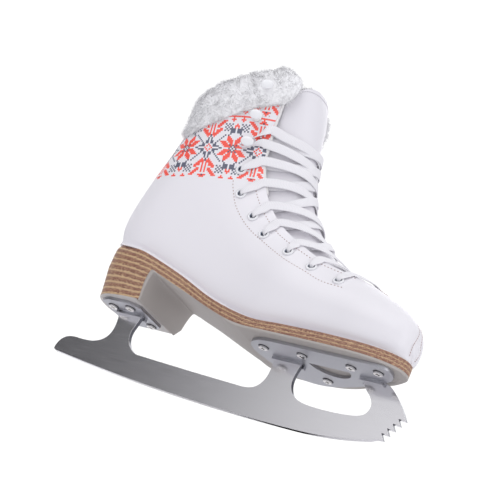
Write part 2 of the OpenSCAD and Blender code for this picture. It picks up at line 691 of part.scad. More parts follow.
// Round the lowest hook, under its head
function round_hook(side) =
    let (s = HOOKS[0][0], e = HOOKS[0][1], edge = edge_angle(s))
    [[side, s - HOOK_SPREAD, edge - 0.02, OVER, lace_w, 0, 0],
     [side, s - 0.24, e + 0.14, OVER - 1.3, 5.4, 20, 0],
     [side, s - 0.17, e + 0.055, -2.6, 2.9, 60, PLUMB],
     [side, s - 0.13, e - 0.03, -2.8, 2.6, 82, PLUMB],
     [side, s, e - 0.075, -2.8, 2.6, 90, PLUMB],
     [side, s + 0.13, e - 0.03, -2.8, 2.6, 98, PLUMB],
     [side, s + 0.17, e + 0.055, -2.6, 2.9, 120, PLUMB],
     [side, s + 0.24, e + 0.14, OVER - 1.3, 5.4, 160, 0],
     [side, s + HOOK_SPREAD, edge - 0.02, OVER, lace_w, 180, 0]];
// The free end, tucked behind the facing and down the inside of the shaft
function tucked(side) =
    let (edge = edge_angle(TUCK_S))
    [[side, TUCK_S, edge, UNDER, lace_w, 180, 0],
     [side, TUCK_S, edge - 0.14, 4.5, lace_w, 180, 0],
     [side, TUCK_S - 0.05, 1.9, 5.1, lace_w, 180, 0],
     [side, TUCK_S - 0.12, 1.75, 6.2, lace_w, 180, 0],
     [side, TUCK_S - 0.28, 1.61, 7.9, lace_w, 180, 0.35],
     [side, TUCK_S - 0.55, 1.51, 8, lace_w, 180, 0.75],
     [side, 11.4, 1.46, 8, lace_w, 180, 1],
     [side, 11, 1.44, 8, lace_w, 180, 1],
     [side, 10.5, 1.42, 8.1, lace_w, 180, 1],
     [side, 10, 1.41, 8.2, lace_w, 180, 1],
     [side, 9.5, 1.4, 8.4, 5.4, 180, 1],
     [side, 9.2, 1.4, 8.7, 2.6, 180, 1]];
// Half of the lace: from the bottom bar up to its tucked end
function half_lace(side, ridge) = concat(
    [for (i = [0:6]) let (a = i % 2 == 0 ? side : -side)
        each concat(through(a, i),
            i < 6
            ? strap(a, EYELETS[i][0], UNDER, EYELETS[i + 1][0], OVER, ridge, DIPS[i], 0)
            : strap(a, EYELETS[i][0], UNDER, HOOKS[0][0] - HOOK_SPREAD, OVER, ridge, HOOK_DIP, 0))],
    round_hook(-side),
    strap(-side, HOOKS[0][0] + HOOK_SPREAD, OVER, TUCK_S, UNDER, ridge, HOOK_DIP, 180),
    tucked(side));
bar = strap(INNER, EYELETS[0][0], OVER, EYELETS[0][0], OVER, OVER, BAR_DIP, 0);
function reversed(v) = [for (k = [len(v) - 1:-1:0]) v[k]];
route = concat(reversed(half_lace(INNER, HIGH_CROSS)), bar, half_lace(OUTER, LOW_CROSS));

lace_points = [for (r = route)
    r[6] == PLUMB ? on_last(r[0], r[1], r[2]) - normal(r[0], r[1], r[2]) * r[3]
    : on_last(r[0], r[1], r[2], r[3])];
function tangent(i) =
    unit(lace_points[min(i + 1, len(lace_points) - 1)] - lace_points[max(i - 1, 0)]);
function lace_ring(i) =
    let (r = route[i], t = tangent(i),
         ds = along(r[0], r[1], r[2]), n = normal(r[0], r[1], r[2]),
         dth = unit(on_last(r[0], r[1], r[2] + 0.03) - on_last(r[0], r[1], r[2] - 0.03)),
         lay = max(r[6], 0),
         v = (1 - lay) * (ds * cos(r[5]) + n * sin(r[5])) + lay * dth,
         w = unit(v - (v * t) * t), h = cross(t, w),
         a = r[4] / 2, b = a - 0.45, c = lace_t / 2, p = lace_points[i])
    [p - w * b - h * c, p - w * a, p - w * b + h * c, p + w * b + h * c, p + w * a,
        p + w * b - h * c];
module lace() {
    color("white") loft([for (i = [0:len(route) - 1]) lace_ring(i)]);
}
AGLET_LEN = 18;
AGLET_R = 1.4;
module aglet(p, dir) {
    translate(p + dir * 0.05)
        rotate([0, acos(dir[2]), atan2(dir[1], dir[0])]) cylinder(h = AGLET_LEN, r = AGLET_R);
}
module lace_tips() {
    last_i = len(route) - 1;
    color("gainsboro") {
        aglet(lace_points[0], -tangent(0));
        aglet(lace_points[last_i], tangent(last_i));
    }
}

// ---- The whole skate ---------------------------------------------------------

blade();
toe_plate();
heel_plate();
toe_plate_screws();
heel_plate_screws();
outsole();
heel_top_piece();
heel_lift_1();
heel_lift_2();
heel_lift_3();
heel_lift_4();
heel_wedge();
midsole_lower();
midsole_upper();
shank();
insole_board();
footbed();
heel_counter();
toe_puff();
inner_quarter();
outer_quarter();
backstay();
inner_facing();
outer_facing();
inner_eyelets();
outer_eyelets();
inner_hooks();
outer_hooks();
inner_lining();
outer_lining();
fur_collar();
tongue();
tongue_padding();
lace();
lace_tips();
tongue_top();
tongue_top_padding();
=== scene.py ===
"""The looks of a left figure skate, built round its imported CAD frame.

Lengths are in millimetres in the frame of the part, and turn into metres where a mesh
is made. The boot is described on a last: a place on it is a side (INNER or OUTER), a
station s from the toe tip round the heel and up the shaft, and an angle th from the
sole or back (0) to the ridge at the front (pi).
"""

import math
from functools import partialmethod

import bmesh
import bpy
import numpy as np
from mathutils import Matrix, Vector


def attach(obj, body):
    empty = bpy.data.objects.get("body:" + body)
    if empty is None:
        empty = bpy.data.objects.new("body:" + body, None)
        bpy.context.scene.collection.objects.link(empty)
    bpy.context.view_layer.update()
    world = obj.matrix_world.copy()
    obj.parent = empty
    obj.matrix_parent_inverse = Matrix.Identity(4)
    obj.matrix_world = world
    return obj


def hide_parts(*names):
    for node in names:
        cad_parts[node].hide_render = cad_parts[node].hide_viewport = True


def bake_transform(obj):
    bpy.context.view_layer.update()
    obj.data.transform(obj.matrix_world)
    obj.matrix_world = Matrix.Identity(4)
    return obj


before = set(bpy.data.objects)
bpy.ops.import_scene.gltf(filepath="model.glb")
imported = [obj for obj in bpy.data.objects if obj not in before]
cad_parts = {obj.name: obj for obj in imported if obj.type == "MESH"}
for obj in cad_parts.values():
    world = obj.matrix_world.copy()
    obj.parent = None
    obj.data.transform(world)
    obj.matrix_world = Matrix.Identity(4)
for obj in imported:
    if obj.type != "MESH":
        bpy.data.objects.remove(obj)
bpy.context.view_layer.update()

MM = 0.001
INNER = -1
OUTER = 1
PI = math.pi

# ---- Shape of the boot ----

# One row for each station: bottom or back point x, z; top or front point x, z; half
# width; height of the widest point as a share; lower and upper roundness; centre y.
STATIONS = np.array([
    [84, 66, 84, 78, 6, 0.50, 2.0, 2.0, -20],
    [81, 62.5, 82, 86, 14, 0.44, 3.0, 2.0, -19],
    [74, 62, 76, 93, 21, 0.42, 4.0, 2.0, -18],
    [60, 62, 64, 101, 27, 0.40, 4.5, 2.0, -15],
    [40, 62, 45, 110, 34, 0.38, 5.0, 2.0, -9],
    [16, 62, 22, 120, 40, 0.37, 5.0, 2.0, -2],
    [-14, 61.5, -6, 132, 43, 0.36, 5.0, 1.9, 1],
    [-42, 61.5, -26, 147, 41, 0.36, 5.5, 1.85, 0],
    [-78, 70, -42, 164, 37, 0.36, 7.0, 1.85, 0],
    [-114, 84, -53, 181, 35, 0.38, 9.0, 1.9, 0],
    [-152, 96, -59, 197, 35, 0.40, 8.0, 2.0, 0],
    [-184, 103, -63, 211, 36, 0.42, 4.5, 2.1, 0],
    [-193, 120, -66, 224, 37, 0.44, 3.0, 2.2, 0],
    [-190, 150, -69, 237, 38, 0.46, 2.5, 2.3, 0],
    [-183, 180, -73, 251, 39, 0.48, 2.3, 2.4, 0],
    [-178, 207, -78, 264, 40, 0.50, 2.3, 2.4, 0],
    [-179, 232, -84, 277, 41, 0.50, 2.3, 2.4, 0],
    [-182, 256, -91, 290, 42, 0.50, 2.3, 2.4, 0]])
TOE_STEP = 1.5
# Angle of the facing's front edge at each station, and where the throat starts
EDGE_ANGLE = np.array([PI, PI, PI, PI, PI, 2.66, 2.44, 2.33, 2.24, 2.19, 2.19, 2.21,
                       2.21, 2.18, 2.17, 2.15, 2.12, 2.1])
THROAT_S = 4.5
TOP_S = 15.55
SEAM_GAP = 0.05
LEATHER_T = 2.0


def unit(v):
    return v / np.maximum(np.linalg.norm(v, axis=-1, keepdims=True), 1e-9)


def smooth(t):
    u = np.clip(t, 0, 1)
    return u * u * (3 - 2 * u)


def lerp(a, b, t):
    return a + (b - a) * t


def ramp(t, low, high):
    """0 up to low, 1 from high, straight between."""
    return np.clip((t - low) / (high - low), 0, 1)


def xyz(*parts):
    """Points or pairs from the arrays of their coordinates."""
    return np.stack(np.broadcast_arrays(*parts), -1)


def turns(count):
    """Angles once round a circle."""
    return np.arange(count) * 2 * PI / count


def run_along(points):
    """Distance of each point along the polyline."""
    return np.concatenate([[0], np.cumsum(np.linalg.norm(np.diff(points, axis=0), axis=1))])


def lookup(table, r, c):
    """Values between the table's rows and columns."""
    i, j = r.astype(int), c.astype(int)
    down, over = r - i, c - j
    if table.ndim > 2:
        down, over = down[..., None], over[..., None]
    return lerp(lerp(table[i, j], table[i, j + 1], over),
                lerp(table[i + 1, j], table[i + 1, j + 1], over), down)


def curve(rows, s):
    """Catmull-Rom value of the rows at s, where whole numbers are the rows."""
    rows = np.asarray(rows, float)
    s = np.asarray(s, float)
    p = np.concatenate([2 * rows[:1] - rows[1:2], rows, 2 * rows[-1:] - rows[-2:-1]])
    i = np.clip(np.floor(s).astype(int), 0, len(rows) - 2)
    t = np.clip(s - i, 0, 1)
    if rows.ndim > 1:
        t = t[..., None]
    a, b, c, d = p[i], p[i + 1], p[i + 2], p[i + 3]
    return 0.5 * (2 * b + (c - a) * t + (2 * a - 5 * b + 4 * c - d) * t ** 2
                  + (3 * b - a - 3 * c + d) * t ** 3)


def trace(points, steps):
    """Points along a smooth open curve, with so many steps to each stretch."""
    return curve(points, np.linspace(0, len(points) - 1, steps * (len(points) - 1) + 1))


def closed(points, steps):
    """Points along a smooth closed curve."""
    loop = np.array([points[-1], *points, points[0], points[1]], float)
    return curve(loop, 1 + np.arange(steps * len(points)) / steps)


def on_last(side, s, th, off=0.0, gap=0.0):
    """Points of the boot's surface, off millimetres below it."""
    side, s, th, off = np.broadcast_arrays(
        *[np.asarray(v, float) for v in (side, s, th, off)])
    q = curve(STATIONS, s)
    b0, t0 = q[..., 0:2], q[..., 2:4]
    d = unit(t0 - b0)
    b, t = b0 + d * off[..., None], t0 - d * off[..., None]
    th = np.clip(th, 0, PI)
    c, sn, m = np.cos(th), np.sin(th), q[..., 5]
    low, high = 2 / q[..., 6], 2 / q[..., 7]
    share = np.where(c > 0, m - m * np.abs(c) ** low, m + (1 - m) * np.abs(c) ** high)
    across = (q[..., 4] - off) * np.maximum(sn, 0) ** np.where(c > 0, low, high)
    p = b + (t - b) * share[..., None]
    x = p[..., 0] - off * np.maximum(0, 1 - s / TOE_STEP)
    return xyz(x, side * np.maximum(gap, across) + q[..., 8], p[..., 1])


def at_angle(s, a, off=0.0):
    """Points from a signed angle, whose sign is the side."""
    return on_last(np.where(np.asarray(a) < 0, INNER, OUTER), s, np.abs(a), off)


def along(side, s, th):
    return unit(on_last(side, s + 0.05, th) - on_last(side, s - 0.05, th))


def normal(side, s, th):
    s, th = np.asarray(s, float), np.asarray(th, float)
    v = on_last(side, s, th + 0.04) - on_last(side, s, th - 0.04)
    n = unit(np.cross(along(side, s, th), v))
    return n * np.where(np.asarray(side) == INNER, -1.0, 1.0)[..., None]


def edge_angle(s):
    s = np.asarray(s, float)
    rounded = PI - (PI - EDGE_ANGLE[5]) * np.sqrt(ramp(s, THROAT_S, 5))
    return np.where(s <= THROAT_S, PI, np.where(s < 5, rounded, curve(EDGE_ANGLE, s)))


def throat(s):
    return PI - edge_angle(s)


# ---- Outline of the sole ----

SOLE_OUTLINE = closed([
    [-193, 0], [-190, -17], [-180, -29], [-160, -35], [-130, -36], [-100, -37], [-72, -39.5],
    [-40, -42.5], [0, -43.5], [35, -43], [58, -40.5], [74, -34.5], [83, -25], [83, -13],
    [75, -3], [62, 8], [45, 19], [22, 34], [0, 42.5], [-25, 44], [-50, 41], [-80, 37],
    [-120, 35.5], [-160, 35], [-180, 29], [-190, 17]], 12)
SOLE_UNDER = trace([[-196, 94.5], [-170, 91], [-138, 82.4], [-120, 76.5], [-103, 71], [-86, 65],
                    [-73, 60.7], [-58, 56.5], [-42, 54.2], [-20, 54], [30, 54], [95, 54]], 4)
FEATHER = np.array([[-196, 105.2]] + [[*curve(STATIONS, k / 4)[:2]] for k in range(44, 7, -1)]
                   + [[95, 62]])
SHANK_UNDER = trace([[-138, 80.5], [-120, 74], [-100, 67], [-80, 60.2], [-62, 54.6],
                     [-48, 52]], 4)
HEEL_BOTTOM = 62.5
TOP_PIECE_LOW = 59.9
LIFTS_TOP = 82.0
HEEL_LOW_SCALE = 0.86
HEEL_MID_X = -166.0
BREAST_BACK = -144.0
BREAST_REAR = np.array([[-144, 58.8], [-144, 65], [-143.6, 72], [-142.2, 78.4], [-139.6, 82.9]])
SOLE_FLAT = 52.0
HEEL_LAYERS = 9.0
# How far the top of the stack draws in under the leather at the back of the heel
TOP_TUCK = 3.0
# Where the outer side draws in at the waist, by how much, and over what length
WAIST_X = -95.0
WAIST_IN = 5.0
WAIST_SPAN = 28.0


def outline_sides(x):
    """y of the sole's inner and outer edge at x."""
    nose = int(SOLE_OUTLINE[:, 0].argmax())
    back = int(SOLE_OUTLINE[:, 0].argmin())
    loop = np.roll(SOLE_OUTLINE, -back, axis=0)
    nose = (nose - back) % len(loop)
    inner, outer = loop[:nose + 1], np.concatenate([loop[nose:], loop[:1]])[::-1]
    waist = WAIST_IN * np.exp(-((x - WAIST_X) / WAIST_SPAN) ** 2)
    return (np.interp(x, inner[:, 0], inner[:, 1]),
            np.interp(x, outer[:, 0], outer[:, 1]) - waist)


def under(x):
    return np.interp(x, SOLE_UNDER[:, 0], SOLE_UNDER[:, 1])


def feather(x):
    return np.interp(x, FEATHER[:, 0], FEATHER[:, 1])


# Distance of the heel's edge from the middle of the heel, by angle from straight ahead
HEEL_EDGE = SOLE_OUTLINE[SOLE_OUTLINE[:, 0] < HEEL_MID_X + 4] - (HEEL_MID_X, 0)
HEEL_TURN = np.arctan2(np.abs(HEEL_EDGE[:, 1]), HEEL_EDGE[:, 0])
HEEL_ORDER = np.argsort(HEEL_TURN)
HEEL_POLAR = (HEEL_TURN[HEEL_ORDER], np.linalg.norm(HEEL_EDGE, axis=1)[HEEL_ORDER])

# ---- Mesh tools ----


def new_object(name, data):
    obj = bpy.data.objects.new(name, data)
    bpy.context.scene.collection.objects.link(obj)
    return obj


def make(name, points, faces, closed_mesh=True):
    """A smooth-shaded mesh object from points in millimetres."""
    mesh = bpy.data.meshes.new(name)
    mesh.from_pydata((np.asarray(points, float).reshape(-1, 3) * MM).tolist(), [],
                     [tuple(int(i) for i in f) for f in faces])
    if closed_mesh:
        work = bmesh.new()
        work.from_mesh(mesh)
        bmesh.ops.recalc_face_normals(work, faces=work.faces)
        work.to_mesh(mesh)
        work.free()
    mesh.shade_smooth()
    return new_object(name, mesh)


def quads(a, b, c, d):
    return np.stack([a, b, c, d], -1).reshape(-1, 4)


def shell(name, outer, inner):
    """A solid sheet between two grids of points."""
    top = np.arange(outer[..., 0].size).reshape(outer.shape[:2])
    low = top + top.size
    faces = [quads(top[:-1, :-1], top[1:, :-1], top[1:, 1:], top[:-1, 1:]),
             quads(low[:-1, :-1], low[:-1, 1:], low[1:, 1:], low[1:, :-1])]
    for line, under in ((top[0], low[0]), (top[-1][::-1], low[-1][::-1]),
                        (top[:, 0][::-1], low[:, 0][::-1]), (top[:, -1], low[:, -1])):
        faces.append(quads(line[:-1], line[1:], under[1:], under[:-1]))
    return make(name, np.concatenate([outer.reshape(-1, 3), inner.reshape(-1, 3)]),
                np.concatenate(faces))


def tube(rows, count):
    """Faces of a row of rings, with flat ends."""
    grid = np.arange(rows * count).reshape(rows, count)
    nxt = np.roll(grid, -1, axis=1)
    faces = quads(grid[:-1], nxt[:-1], nxt[1:], grid[1:]).tolist()
    return faces + [grid[0].tolist(), grid[-1][::-1].tolist()]


def loft(name, rings):
    """A solid from closed rings of points, with flat ends."""
    return make(name, rings, tube(*rings.shape[:2]))


def stamp(name, parts):
    """One mesh from many (points, faces) pairs."""
    points, faces, start = [], [], 0
    for p, f in parts:
        points.append(p)
        faces += [[i + start for i in face] for face in f]
        start += len(p)
    return make(name, np.concatenate(points), faces)


def lathe(profile, steps=32):
    """Points and faces of a closed ring profile, (r, z) pairs, turned about z."""
    a = turns(steps)
    r, z = np.array(profile, float).T
    points = xyz(np.outer(np.cos(a), r), np.outer(np.sin(a), r), z).reshape(-1, 3)
    grid = np.arange(len(points)).reshape(steps, len(r))
    nxt, up = np.roll(grid, -1, 0), np.roll(grid, -1, 1)
    return points, quads(grid, nxt, np.roll(nxt, -1, 1), up).tolist()


def disc(profile, steps=32):
    """Points and faces of an open (r, z) profile turned about z and closed at both ends."""
    a = turns(steps)
    r, z = np.array(profile, float).T
    points = xyz(np.outer(r, np.cos(a)), np.outer(r, np.sin(a)), z[:, None])
    return points.reshape(-1, 3), tube(len(r), steps)


def placed(part, side, place, stretch=(1, 1, 1)):
    """The part moved onto the boot with +z along the outward normal."""
    points, faces = part
    n = normal(side, *place)
    x = along(side, *place)
    x = unit(x - n * (x @ n))
    basis = np.stack([x, np.cross(n, x), n])
    return on_last(side, *place) + (points * stretch) @ basis, faces


def set_uv(obj, name, values):
    """A pair of numbers at each vertex, stored as a UV map for the materials."""
    layer = obj.data.uv_layers.new(name=name)
    index = np.empty(len(obj.data.loops), int)
    obj.data.loops.foreach_get("vertex_index", index)
    layer.data.foreach_set("uv", values.reshape(-1, 2).astype(np.float32)[index].ravel())


def bevel(obj, width, segments=2, angle=40):
    mod = obj.modifiers.new("bevel", "BEVEL")
    mod.width = width * MM
    mod.segments = segments
    mod.limit_method = "ANGLE"
    mod.angle_limit = math.radians(angle)
    mod.harden_normals = True
    return obj


def bevelled_copy(name, node, width, segments=2):
    """A visual copy of a CAD node with its edges broken."""
    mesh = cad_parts[node].data.copy()
    mesh.materials.clear()
    work = bmesh.new()
    work.from_mesh(mesh)
    bmesh.ops.remove_doubles(work, verts=work.verts, dist=1e-6)
    bmesh.ops.dissolve_limit(work, angle_limit=math.radians(1), verts=work.verts,
                             edges=work.edges)
    for edge in work.edges:
        edge.smooth = edge.calc_face_angle(0) < math.radians(30)
    work.to_mesh(mesh)
    work.free()
    mesh.shade_smooth()
    return bevel(new_object(name, mesh), width, segments)


def finish_piece(obj, slot, paint, *nodes, body="boot", fill=None):
    """Gives the piece its material and its body, and hides the CAD nodes it stands for."""
    obj.data.materials.clear()
    obj.data.materials.append(paint.material)
    if body:
        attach(obj, body)
    if nodes:
        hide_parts(*nodes)
    return obj


NOISE_WAVES = 14


def noise3(points, size, seed):
    """Smooth random values, one for each point, with bumps of about the given size."""
    rng = np.random.default_rng(seed)
    total = 0
    for _ in range(NOISE_WAVES):
        k = unit(rng.normal(size=3)) * 2 * PI / (size * rng.uniform(0.7, 1.6))
        total = total + np.sin(points @ k + rng.uniform(0, 2 * PI))
    return total / NOISE_WAVES ** 0.5


# ---- Materials ----


def set_inputs(tree, node, inputs):
    """Sets inputs, by name or number, to a Value, a colour or a number."""
    for key, value in inputs.items():
        slot = node.inputs[key]
        if isinstance(value, Value):
            tree.links.new(value.socket, slot)
        elif slot.type == "RGBA":
            slot.default_value = (*value, 1)
        else:
            slot.default_value = value


def add_node(tree, kind, inputs, output=0, **settings):
    """A new node with its settings and inputs, as the Value of one output."""
    node = tree.nodes.new("ShaderNode" + kind)
    for key, value in settings.items():
        setattr(node, key, value)
    set_inputs(tree, node, inputs)
    return Value(tree, node.outputs[output])


class Value:
    """A shader output that can be used in arithmetic; | takes the larger value."""

    def __init__(self, tree, socket):
        self.tree = tree
        self.socket = socket

    def math(self, kind, *others):
        return add_node(self.tree, "Math", dict(enumerate((self, *others))), operation=kind)

    def between(self, low, high):
        """1 where the value lies from low to high."""
        return (self > low) * (self < high)

    def ramp(self, low, high):
        """0 below low, 1 above high, smooth between."""
        return add_node(self.tree, "MapRange", {"Value": self, "From Min": low, "From Max": high},
                        interpolation_type="SMOOTHSTEP")


OPERATORS = {"add": "ADD", "sub": "SUBTRACT", "mul": "MULTIPLY", "mod": "FLOORED_MODULO",
             "or": "MAXIMUM", "lt": "LESS_THAN", "gt": "GREATER_THAN", "abs": "ABSOLUTE"}
for operator, kind in OPERATORS.items():
    setattr(Value, f"__{operator}__", partialmethod(Value.math, kind))


class Paint:
    """A Principled material and the nodes that vary it."""

    def __init__(self, name, color, roughness, **inputs):
        self.material = bpy.data.materials.new(name)
        self.material.use_nodes = True
        self.tree = self.material.node_tree
        self.shader = self.tree.nodes["Principled BSDF"]
        named = {key.replace("_", " "): value for key, value in inputs.items()}
        self.set({"Base Color": color, "Roughness": roughness, **named})

    def set(self, inputs):
        set_inputs(self.tree, self.shader, inputs)

    def split(self, kind, output=0, **settings):
        """The three coordinates that a node gives."""
        source = add_node(self.tree, kind, {}, output, **settings)
        parts = add_node(self.tree, "SeparateXYZ", {0: source}).socket.node.outputs
        return [Value(self.tree, part) for part in parts]

    def uv(self, name):
        """The two numbers stored at the vertices under that name."""
        return self.split("UVMap", uv_map=name)[:2]

    def noise(self, size, detail=3.0, stretch=(1, 1, 1)):
        """Noise whose blotches are about size millimetres."""
        place = [axis * times for axis, times in zip(self.split("TexCoord", "Object"), stretch)]
        at = add_node(self.tree, "CombineXYZ", dict(enumerate(place)))
        inputs = {"Scale": 1 / (size * MM), "Detail": detail, "Vector": at}
        return add_node(self.tree, "TexNoise", inputs, "Fac")

    def mix(self, share, first, second):
        """A colour from first to second by share; either is a colour or a Value."""
        inputs = {"Factor": share, 6: first, 7: second}
        return add_node(self.tree, "Mix", inputs, 2, data_type="RGBA")

    def color(self, value):
        self.set({"Base Color": value})

    def roughness(self, value, middle, spread):
        """Roughness that spreads about its middle as the value runs from 0 to 1."""
        self.set({"Roughness": value * spread + (middle - spread / 2)})

    def bump(self, height, depth, strength=1.0):
        """Bumps depth millimetres high where height runs from 0 to 1."""
        inputs = {"Strength": strength, "Distance": depth * MM, "Height": height}
        self.set({"Normal": add_node(self.tree, "Bump", inputs)})


WHITE = (0.855, 0.835, 0.87)
PLUSH = (0.86, 0.845, 0.84)
RED = (0.98, 0.085, 0.05)
NAVY = (0.045, 0.055, 0.11)


def leather(name, color=WHITE, roughness=0.42):
    paint = Paint(name, color, roughness, Coat_Weight=0.08, Coat_Roughness=0.35)
    paint.bump(paint.noise(0.9, 4), 0.06, 0.5)
    return paint


# The cross-stitch pattern: its stitches, its row line and its repeat in stitches.
# Rows and columns are counted from the middle of a star.
STITCH = 1.35
STAR_AT = np.array([-117.9, 191.2])
ROW_TILT = math.radians(9)
REPEAT = 30.0
HALF = REPEAT / 2
RISE = 41.0
BAND_LOW = -18.5
NO_PRINT = -200
NO_PRINT_BELOW_S = 9
TOP_LINE = 20


def pattern(u, v):
    """Red and navy shares of the knitted pattern at stitch coordinates u and v."""
    i, row = u.math("FLOOR"), v.math("FLOOR")
    j = (row + TOP_LINE + 0.5) % RISE - (TOP_LINE + 0.5)
    x, y = abs((i + HALF) % REPEAT - HALF), abs(j)
    back = x * -1 + HALF
    even = (i + j) % 2.0 < 0.5

    # eight petals and a small navy heart
    big, small = x | y, x.math("MINIMUM", y)
    petals = small.between(0.5, 4.5) * (big - small).between(0.5, 4.5)
    heart = (big < 2.5) * even

    # navy flakes halfway between the stars, with a red ring
    far, near = back | y, back.math("MINIMUM", y)
    rays = near.between(0.5, 1.5) * far.between(2.5, 6.5)
    rays |= near.between(1.5, 2.5) * far.between(2.5, 4.5)
    rays |= (near < 0.5) * far.between(6.5, 8.5)
    ring = (back + y).between(1.5, 2.5) | near.between(0.5, 1.5) * far.between(0.5, 1.5)

    # dotted lozenge from flake to bud, and the double buds above and below a star
    lozenge = (x * 12 + y * HALF).between(165, 195) * x.between(2.5, 12.5) * even
    bud = x.between(0.5, 3.5) * y.between(9.5, 12.5)
    bud |= x.between(2.5, 7.5) * y.between(10.5, 15.5) * even
    core = (x < 1.5) * (y + x).between(13.5, 15.5)

    # two tiers of leaves with stems under and over each flake, and a small hem
    rise = y - back
    leaves = rise.between(4.5, 7.5) * back.between(1.5, 6.5) * (y < 12.5)
    leaves |= rise.between(8.5, 11.5) * back.between(2.5, 8.5) * y.between(12.5, 17.5)
    stem = back.between(0.5, 1.5) * y.between(7.5, 15.5)
    stem |= back.between(2.5, 3.5) * y.between(9.5, 11.5)
    from_tooth = abs(x - 3.0)
    teeth = (from_tooth + y < 19.5) * (y - from_tooth > 16.5)
    teeth |= (back + y < 19.5) * (y > 16.5)
    dot = (back < 0.5) * y.between(16.5, 17.5)
    line = j.between(TOP_LINE - 0.5, TOP_LINE + 0.5)

    inside = row > BAND_LOW
    red = petals | ring | core | leaves | stem | teeth | line
    return red * inside, (heart | rays | lozenge | bud | dot) * inside


def printed_leather():
    """White leather with the knitted pattern round the ankle."""
    paint = leather("upper_leather")
    red, navy = pattern(*paint.uv("print"))
    wobble = paint.noise(0.5, 2)
    reds = paint.mix(red * (wobble * 0.2 + 0.86), WHITE, RED)
    paint.color(paint.mix(navy * (wobble * 0.3 + 0.75), reds, NAVY))
    return paint


def plush():
    paint = Paint("plush_white", PLUSH, 0.95, Sheen_Weight=0.5, Sheen_Roughness=0.5,
                  Specular_IOR_Level=0.15)
    paint.bump(paint.noise(1.4, 5), 0.9, 0.7)
    return paint


def fur():
    paint = Paint("fur_fibres", (0.97, 0.965, 0.98), 0.9, Specular_IOR_Level=0.1,
                  Sheen_Weight=0.8, Sheen_Roughness=0.4)
    paint.color(paint.mix(paint.noise(7.0, 2), (0.955, 0.95, 0.965), (0.985, 0.98, 0.985)))
    return paint


def braid():
    """Flat braid: a fine herringbone along the lace, with painted shade in its hollows."""
    paint = Paint("lace_braid", (0.84, 0.835, 0.86), 0.8, Sheen_Weight=0.25,
                  Specular_IOR_Level=0.25)
    u, v = paint.uv("weave")
    ribs = (u * 5.5 + v.math("PINGPONG", 0.5) * 9.0).math("SINE") * 0.5 + 0.5
    cross = (v * 50.0).math("SINE") * 0.5 + 0.5
    height = ribs * 0.7 + cross * 0.3
    # Painted shade: the weave's hollows are coloured darker, following the bump height.
    paint.color(paint.mix(height, (0.80, 0.785, 0.82), (0.90, 0.89, 0.91)))
    paint.bump(height, 0.09, 0.6)
    return paint


BROWN = (0.20, 0.085, 0.06)
LIGHT_BROWN = (0.37, 0.19, 0.125)
CREAM = (0.66, 0.47, 0.27)


def stack():
    """Brown layers with cream lines, speckled like a pressed stack."""
    paint = Paint("stacked_layers", BROWN, 0.5, Coat_Weight=0.12, Coat_Roughness=0.35)
    layer, share = paint.uv("layers")
    grain = paint.noise(0.9, 5, (0.35, 0.35, 1))
    flake = paint.noise(0.55, 4, (0.5, 0.5, 1))
    phase = (layer + (grain - 0.5) * 0.7 + (flake - 0.5) * 0.6).math("FRACT")
    cream = (phase - share).ramp(-0.06, 0.08) * (flake * 0.8 + 0.45)
    cream |= (flake + grain * 0.3).ramp(0.66, 0.80) * 0.5
    tone = paint.mix((flake * 0.6 + grain * 0.4).ramp(0.38, 0.60), BROWN, LIGHT_BROWN)
    paint.color(paint.mix(cream, tone, CREAM))
    paint.bump(phase.ramp(0.0, 0.1) * (flake * 0.5 + 0.5), 0.12, 0.6)
    return paint


def satin(name, color, roughness=0.5, grain=0.05):
    paint = Paint(name, color, roughness)
    paint.bump(paint.noise(0.6, 3), grain, 0.5)
    return paint


def steel(name, color, roughness, size=3.0, detail=3, spread=0.12):
    """Steel with a fine uneven sheen."""
    paint = Paint(name, color, roughness, Metallic=1.0)
    paint.roughness(paint.noise(size, detail), roughness, spread)
    return paint


def brushed_steel(name, color, painted_edge_shade, roughness, stretch, depth):
    """Steel brushed along the long direction of the noise, with a painted dark reflection on its cut
    edges.
    """
    paint = Paint(name, color, roughness, Metallic=1.0)
    _, ny, nz = paint.split("TexCoord", "Normal")
    # The cut edges (normals across y, not facing down) get a painted dark reflection in their base
    # colour.
    paint.color(paint.mix((abs(ny) < 0.5) * (nz > -0.8), color, painted_edge_shade))
    lines = paint.noise(0.35, 2, stretch)
    paint.roughness(lines, roughness, 0.1)
    paint.bump(lines, depth, 0.6)
    return paint


def enamel():
    paint = Paint("white_enamel", (0.86, 0.86, 0.88), 0.25, Coat_Weight=0.4, Coat_Roughness=0.1)
    paint.bump(paint.noise(4.0, 2), 0.03, 0.3)
    return paint


LEATHER_WHITE = leather("plain_leather")
TONGUE_LEATHER = leather("tongue_leather", (0.83, 0.81, 0.85), 0.38)
PRINTED = printed_leather()
PLUSH_WHITE = plush()
FUR = fur()
LACE = braid()
STACK = stack()
TAUPE = satin("taupe_rubber", (0.46, 0.425, 0.40), 0.55)
TOP_GREY = satin("top_piece_grey", (0.62, 0.59, 0.57), 0.5)
# The third colour is the painted dark reflection on the blade's cut edges.
BLADE_STEEL = brushed_steel("blade_steel", (0.90, 0.885, 0.90), (0.13, 0.13, 0.15), 0.17,
                            (0.02, 1, 1), 0.003)
PLATE_STEEL = steel("plate_steel", (0.44, 0.44, 0.47), 0.33, 1.2, 2, 0.06)
SCREW_STEEL = steel("screw_steel", (0.80, 0.78, 0.76), 0.14)
DARK_STEEL = steel("barrel_steel", (0.28, 0.32, 0.40), 0.3)
# Near-black paint for the painted shadow rings round the screw heads.
SHADOW_RING_PAINT = steel("painted_screw_shadow", (0.06, 0.06, 0.07), 0.45)
ENAMEL = enamel()
THREAD = satin("stitch_thread", (0.43, 0.30, 0.27), 0.7, 0.1)
PALE_THREAD = satin("pale_thread", (0.60, 0.58, 0.62), 0.7, 0.1)
BOARD = satin("board", (0.48, 0.33, 0.18), 0.8)
AGLET = satin("aglet_plastic", (0.85, 0.85, 0.88), 0.2, 0.01)
FOAM = satin("foam_edge", (0.80, 0.74, 0.60), 0.9, 0.3)

# ---- Upper ----

